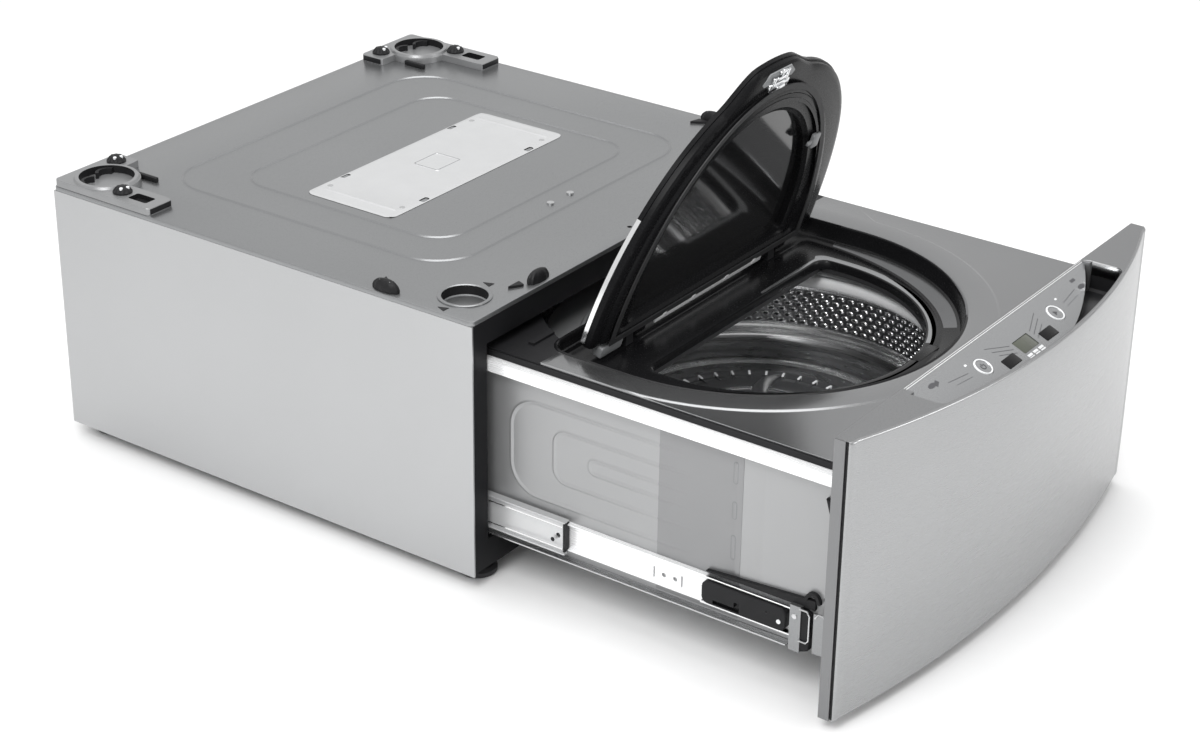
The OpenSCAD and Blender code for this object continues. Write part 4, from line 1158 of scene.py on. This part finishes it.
def make_soft_close(s, name):
    bm = bmesh.new()
    put = mirrored(s)
    loop = rr_loop(-396, -289, 60, 88, 8, 6)
    small = [(-341 + (y + 341) * 0.985, 74 + (z - 74) * 0.93) for y, z in loop]
    hole = [(-338, 62.5), (-304, 62.5), (-304, 67), (-331, 67), (-331, 74), (-338, 74)]
    loft(bm, [[put(301.9, y, z) for y, z in loop], [put(311.2, y, z) for y, z in loop],
              [put(312, y, z) for y, z in small]])
    sheet(bm, small, [hole], [], lambda y, z: 312.0, to=lambda y, z, x: put(x, y, z))
    loft(bm, [[put(312, y, z) for y, z in hole], [put(308.5, y, z) for y, z in hole]],
         True, False, True, 1)
    side_prism(bm, put, circle_loop(-388, 71, 2.6, 20), 311, 312.6, 2)
    side_prism(bm, put, circle_loop(-372, 77, 1.2, 12), 311, 312.3, 1)
    # chrome strips along the slide's upper and lower edges beside it: painted highlights
    side_prism(bm, put, rect(-400, -292, 89.6, 91.4), 301, 308.6, 3)
    side_prism(bm, put, rect(-400, -286, 56.6, 58.4), 301, 308.6, 3)
    # black cover that rises towards the front above the slide
    side_prism(bm, put, [(-428, 95.6), (-290, 95.6), (-290, 96.6), (-320, 99), (-428, 107)],
               300.4, 305.5, 0)
    finish_mesh(bm, name, [BLACK, GLOSS, PRINT_LIGHT, CHROME], "drawer",
                ["soft_close_units"], 35)


make_soft_close(-1, "soft_close_left")
make_soft_close(1, "soft_close_right")


def make_slide_details():
    zinc, black = bmesh.new(), bmesh.new()
    for s in (-1, 1):
        put = mirrored(s)
        pts = [put(311, y, z) for y, z in
               ((-412, 56), (-422, 56), (-425, 60), (-425, 90), (-422, 95), (-412, 95))]
        tube_path(zinc, pts, 1.0)
        side_prism(zinc, put, rect(-443, -431, 48, 97), 309.6, 312.6, 1)
        pts = [put(313.5, y, z) for y, z in
               ((-433, 92), (-437, 98), (-443, 98), (-446, 92), (-446, 60))]
        tube_path(zinc, pts, 0.9)
        for z0, z1 in ((211, 234), (254, 262)):
            side_prism(black, put, [(-434, z1), (-443, z1 - 5), (-458, z1 - 2), (-458, z0 + 6),
                                    (-446, z0 + 2), (-441, z0)], 300.6, 306)
        for k in range(3):
            side_prism(black, put, circle_loop(-445 - 3 * k, 118 + 6 * k, 3.4, 16), 300.6, 312)
        side_prism(zinc, put, rect(-414, -400.5, 41, 97), 301, 310.6, 1)
        side_prism(zinc, put, circle_loop(-406.5, 84, 3, 20), 310.4, 311.6)
        side_prism(black, put, [(-424, 46), (-414, 42), (-414, 94), (-424, 90)], 301, 309.4)
        arch = arc(-424, 104, 10, 12, range(0, 181, 15))
        arch += arc(-424, 104, 6, 8, range(180, -1, -15))
        side_prism(black, put, arch, 300.6, 306)
    finish_mesh(zinc, "slide_end_wires", [ZINC, TOP_GREY], "drawer",
                ["rail_end_brackets"])
    finish_mesh(black, "panel_clips", BLACK, "drawer")
    bm = bmesh.new()
    for s in (-1, 1):
        put = mirrored(s)
        side_prism(bm, put, circle_loop(-89, 69, 2.6, 20), 312.8, 313.3, 0)
        side_prism(bm, put, rect(-105.6, -103.4, 57, 93), 304, 313.2, 0)
        for z in (60, 88):
            side_prism(bm, put, rect(-103, 54, z, z + 1.4), 312.8, 313.3, 1)
    finish_mesh(bm, "slide_member_details", [BLACK, CHROME], "slides")


make_slide_details()


# ---------------------------------------------------------------- lid fittings
def lid_boxes(bm, *rows):
    """Rounded boxes on the lid, each as x0, x1, v0, v1, w0, w1 and radius."""
    for row in rows:
        rounded_box(bm, *row, to=L)


def make_latch():
    bm = bmesh.new()
    lid_boxes(bm, (-20, 20, 287, 298, -8.6, -1.5, 2), (-8, 8, 290.6, 294.6, -11.3, -8, 1),
              (-17, -12, 292, 306, -9.4, -5.6, 1), (9, 14, 296, 311, -8.8, -5.2, 1),
              (-12, 9, 301, 305, -9.4, -5.6, 1), (-4, 16, 307.5, 311, -8.2, -5.0, 1),
              (2, 6, 303, 312, -8.0, -5.0, 1))
    finish_mesh(bm, "latch_hook", ZINC_BRIGHT, "lid", ["lid_latch"], 35)
    bm = bmesh.new()
    loop = [(-30, 296), (30, 296), (35, 301), (22, 312), (-22, 312), (-35, 301)]
    low = [(x * 0.97, 304 + (v - 304) * 0.95) for x, v in loop]
    loft(bm, [level(loop, -3.8, L), level(low, -5.2, L)], True, True, True)
    finish_mesh(bm, "latch_pad", GREY_PLASTIC, "lid")
    bm = bmesh.new()
    lid_boxes(bm, (-107, 118, 3, 14, -11.0, -8.6, 1),
              *[(x - 4, x + 4, 5, 12, -11.4, -10.8, 1.5) for x in (-90, -30, 40, 100)])
    finish_mesh(bm, "hinge_strip", RAIL_WHITE, "lid")
    bm = bmesh.new()
    lid_boxes(bm, (140, 156, 158, 178, -12, -7, 3), (131, 142, 164, 170, -11, -8.4, 2),
              (-208, -166, -7, 8, -9, 4, 3))
    finish_mesh(bm, "lid_clip", GREY_PLASTIC, "lid")


make_latch()


# ---------------------------------------------------------------- suspension
def make_springs():
    """Wire springs from the rods at the foot up to the tub at the top, coiled in the CAD springs'
    box.
    """
    lo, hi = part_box("suspension_springs")
    coil, wire, turns, steps = 10, 1.6, 4, 20
    x_right = hi[0] * 1000 - coil - wire
    z0, z1 = lo[2] * 1000 + wire, hi[2] * 1000 - wire
    bm = bmesh.new()
    for x in (x_right, 2 * TUB_X - x_right):
        for y in (lo[1] * 1000 + coil + 1.4, hi[1] * 1000 - coil - 1.4):
            helix = (circle_loop(x, y, coil, steps) * (turns + 1))[:turns * steps + 1]
            tube_path(bm, [Vector((u, v, z0 + (z1 - z0) * i / (turns * steps))) / 1000
                           for i, (u, v) in enumerate(helix)], wire, n=6)
    obj = finish_mesh(bm, "tub_springs", ZINC, None, ["suspension_springs"], 60)
    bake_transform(obj)


make_springs()


# ---------------------------------------------------------------- CAD nodes that stay
def finish(node, mat, width):
    """Gives a CAD node its material, and its edges a rounding of width millimetres."""
    obj = NODES[node]
    obj.data.materials.clear()
    obj.data.materials.append(mat)
    if width:
        mod = obj.modifiers.new("edges", "BEVEL")
        mod.width = width / 1000
        mod.segments = 2
        mod.limit_method = "ANGLE"
        mod.angle_limit = radians(35)
        mod.harden_normals = False


for name, mat, width in (
        ("cabinet_side_left", SILVER, 0.8), ("cabinet_side_right", SILVER, 0.8),
        ("cabinet_beams", ZINC, 0), ("rear_panel", ZINC, 0.4), ("base_frame", DARK_ENAMEL, 0.8),
        ("front_frame", DARK_ENAMEL, 0.3), ("outer_rails", ZINC, 0.3),
        ("foot_pads", RUBBER, 0), ("foot_screws", ZINC, 0.4),
        ("cabinet_screws", ZINC, 0.4), ("water_inlets", WHITE_PLASTIC, 0.6),
        ("drain_outlet", BLACK, 0.5), ("middle_rails", PLATE_WHITE, 0.3),
        ("drawer_pan", ZINC, 0.3), ("top_rails", RAIL_WHITE, 0.5),
        ("deck_trims", BLACK, 0.5), ("rear_deck", BLACK, 0.5),
        ("opening_seal", RUBBER, 0), ("hinge_brackets", BLACK, 0.6), ("lid_lock", BLACK, 0.4),
        ("inner_rails", RAIL_WHITE, 0.3), ("panel_back", PAN_GREY, 1.2),
        ("control_board", BOARD, 0), ("suspension_rods", ZINC, 0.4),
        ("drain_pump", WHITE_PLASTIC, 0.8), ("controller_box", BLACK, 0.8),
        ("lid_gasket", RUBBER, 0), ("lid_pins", ZINC, 0.3),
        ("tub", TUB_GREY, 0), ("tub_cover", TUB_GREY, 0.4), ("stator", COPPER, 0),
        ("spin_tube", ZINC, 0), ("rotor", ZINC, 0)):
    finish(name, mat, width)


# ---------------------------------------------------------------- stage, light, camera
def make_stage():
    bm = bmesh.new()
    for x, y in ((-9, -9), (9, -9), (9, 9), (-9, 9)):
        bm.verts.new((x, y, 0))
    bm.faces.new(bm.verts)
    mesh = bpy.data.meshes.new("floor")
    bm.to_mesh(mesh)
    bm.free()
    mesh.materials.append(material("floor_white", (0.92, 0.92, 0.92), 0.6, 0.0, 0.01, 0.02, 1, 30))
    floor = bpy.data.objects.new("floor", mesh)
    bpy.context.scene.collection.objects.link(floor)
    floor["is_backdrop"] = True


make_stage()

world = bpy.data.worlds.new("studio")
world.use_nodes = True
world.node_tree.nodes["Background"].inputs["Color"].default_value = (1, 1, 1, 1)
world.node_tree.nodes["Background"].inputs["Strength"].default_value = 0.8
bpy.context.scene.world = world


def lamp(name, kind, loc, target, power):
    light = bpy.data.lights.new(name, kind)
    light.energy = power
    obj = bpy.data.objects.new(name, light)
    obj.location = loc
    aim = Vector(target) - obj.location
    obj.rotation_euler = aim.to_track_quat("-Z", "Y").to_euler()
    bpy.context.scene.collection.objects.link(obj)
    return light


for name, loc, target, size, power in (
        ("key", (-2.2, -0.6, 2.6), (0, 0, 0.2), 1.6, 55),
        ("fill", (1.2, -3.0, 1.6), (0, -0.3, 0.2), 1.4, 20),
        ("top", (0.2, 0.2, 3.2), (0, 0, 0), 2.2, 40)):
    lamp(name, "AREA", loc, target, power).size = size

# soft narrow light that falls through the opening onto the drum's far wall
drum = lamp("drum", "SPOT", W(-900, -560, 1050), W(60, -160, 190), 26)
drum.spot_size = radians(27)
drum.spot_blend = 0.6
drum.shadow_soft_size = 0.12

bpy.context.scene.view_settings.view_transform = "Standard"


def make_camera():
    """The photo's camera, solved from the cabinet's corners."""
    az, el, roll = radians(-54.75), radians(26.54), radians(0.83)
    focal_pixels, photo_width = 2569, 1200
    back = Vector((sin(az) * cos(el), -cos(az) * cos(el), sin(el)))
    right = Vector((0, 0, 1)).cross(back).normalized()
    up = back.cross(right)
    c, s = cos(roll), sin(roll)
    right, up = right * c + up * s, up * c - right * s
    cam = bpy.data.cameras.new("camera")
    cam.sensor_width = 36
    cam.lens = cam.sensor_width * focal_pixels / photo_width
    cam.clip_end = 60
    obj = bpy.data.objects.new("camera", cam)
    rot = Matrix((right, up, back)).transposed().to_4x4()
    obj.matrix_world = Matrix.Translation(W(-2332, -1578, 1526)) @ rot
    bpy.context.scene.collection.objects.link(obj)
    bpy.context.scene.camera = obj


make_camera()

size = {"cad": CAD_BOX, "visual": [list(c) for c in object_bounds()]}
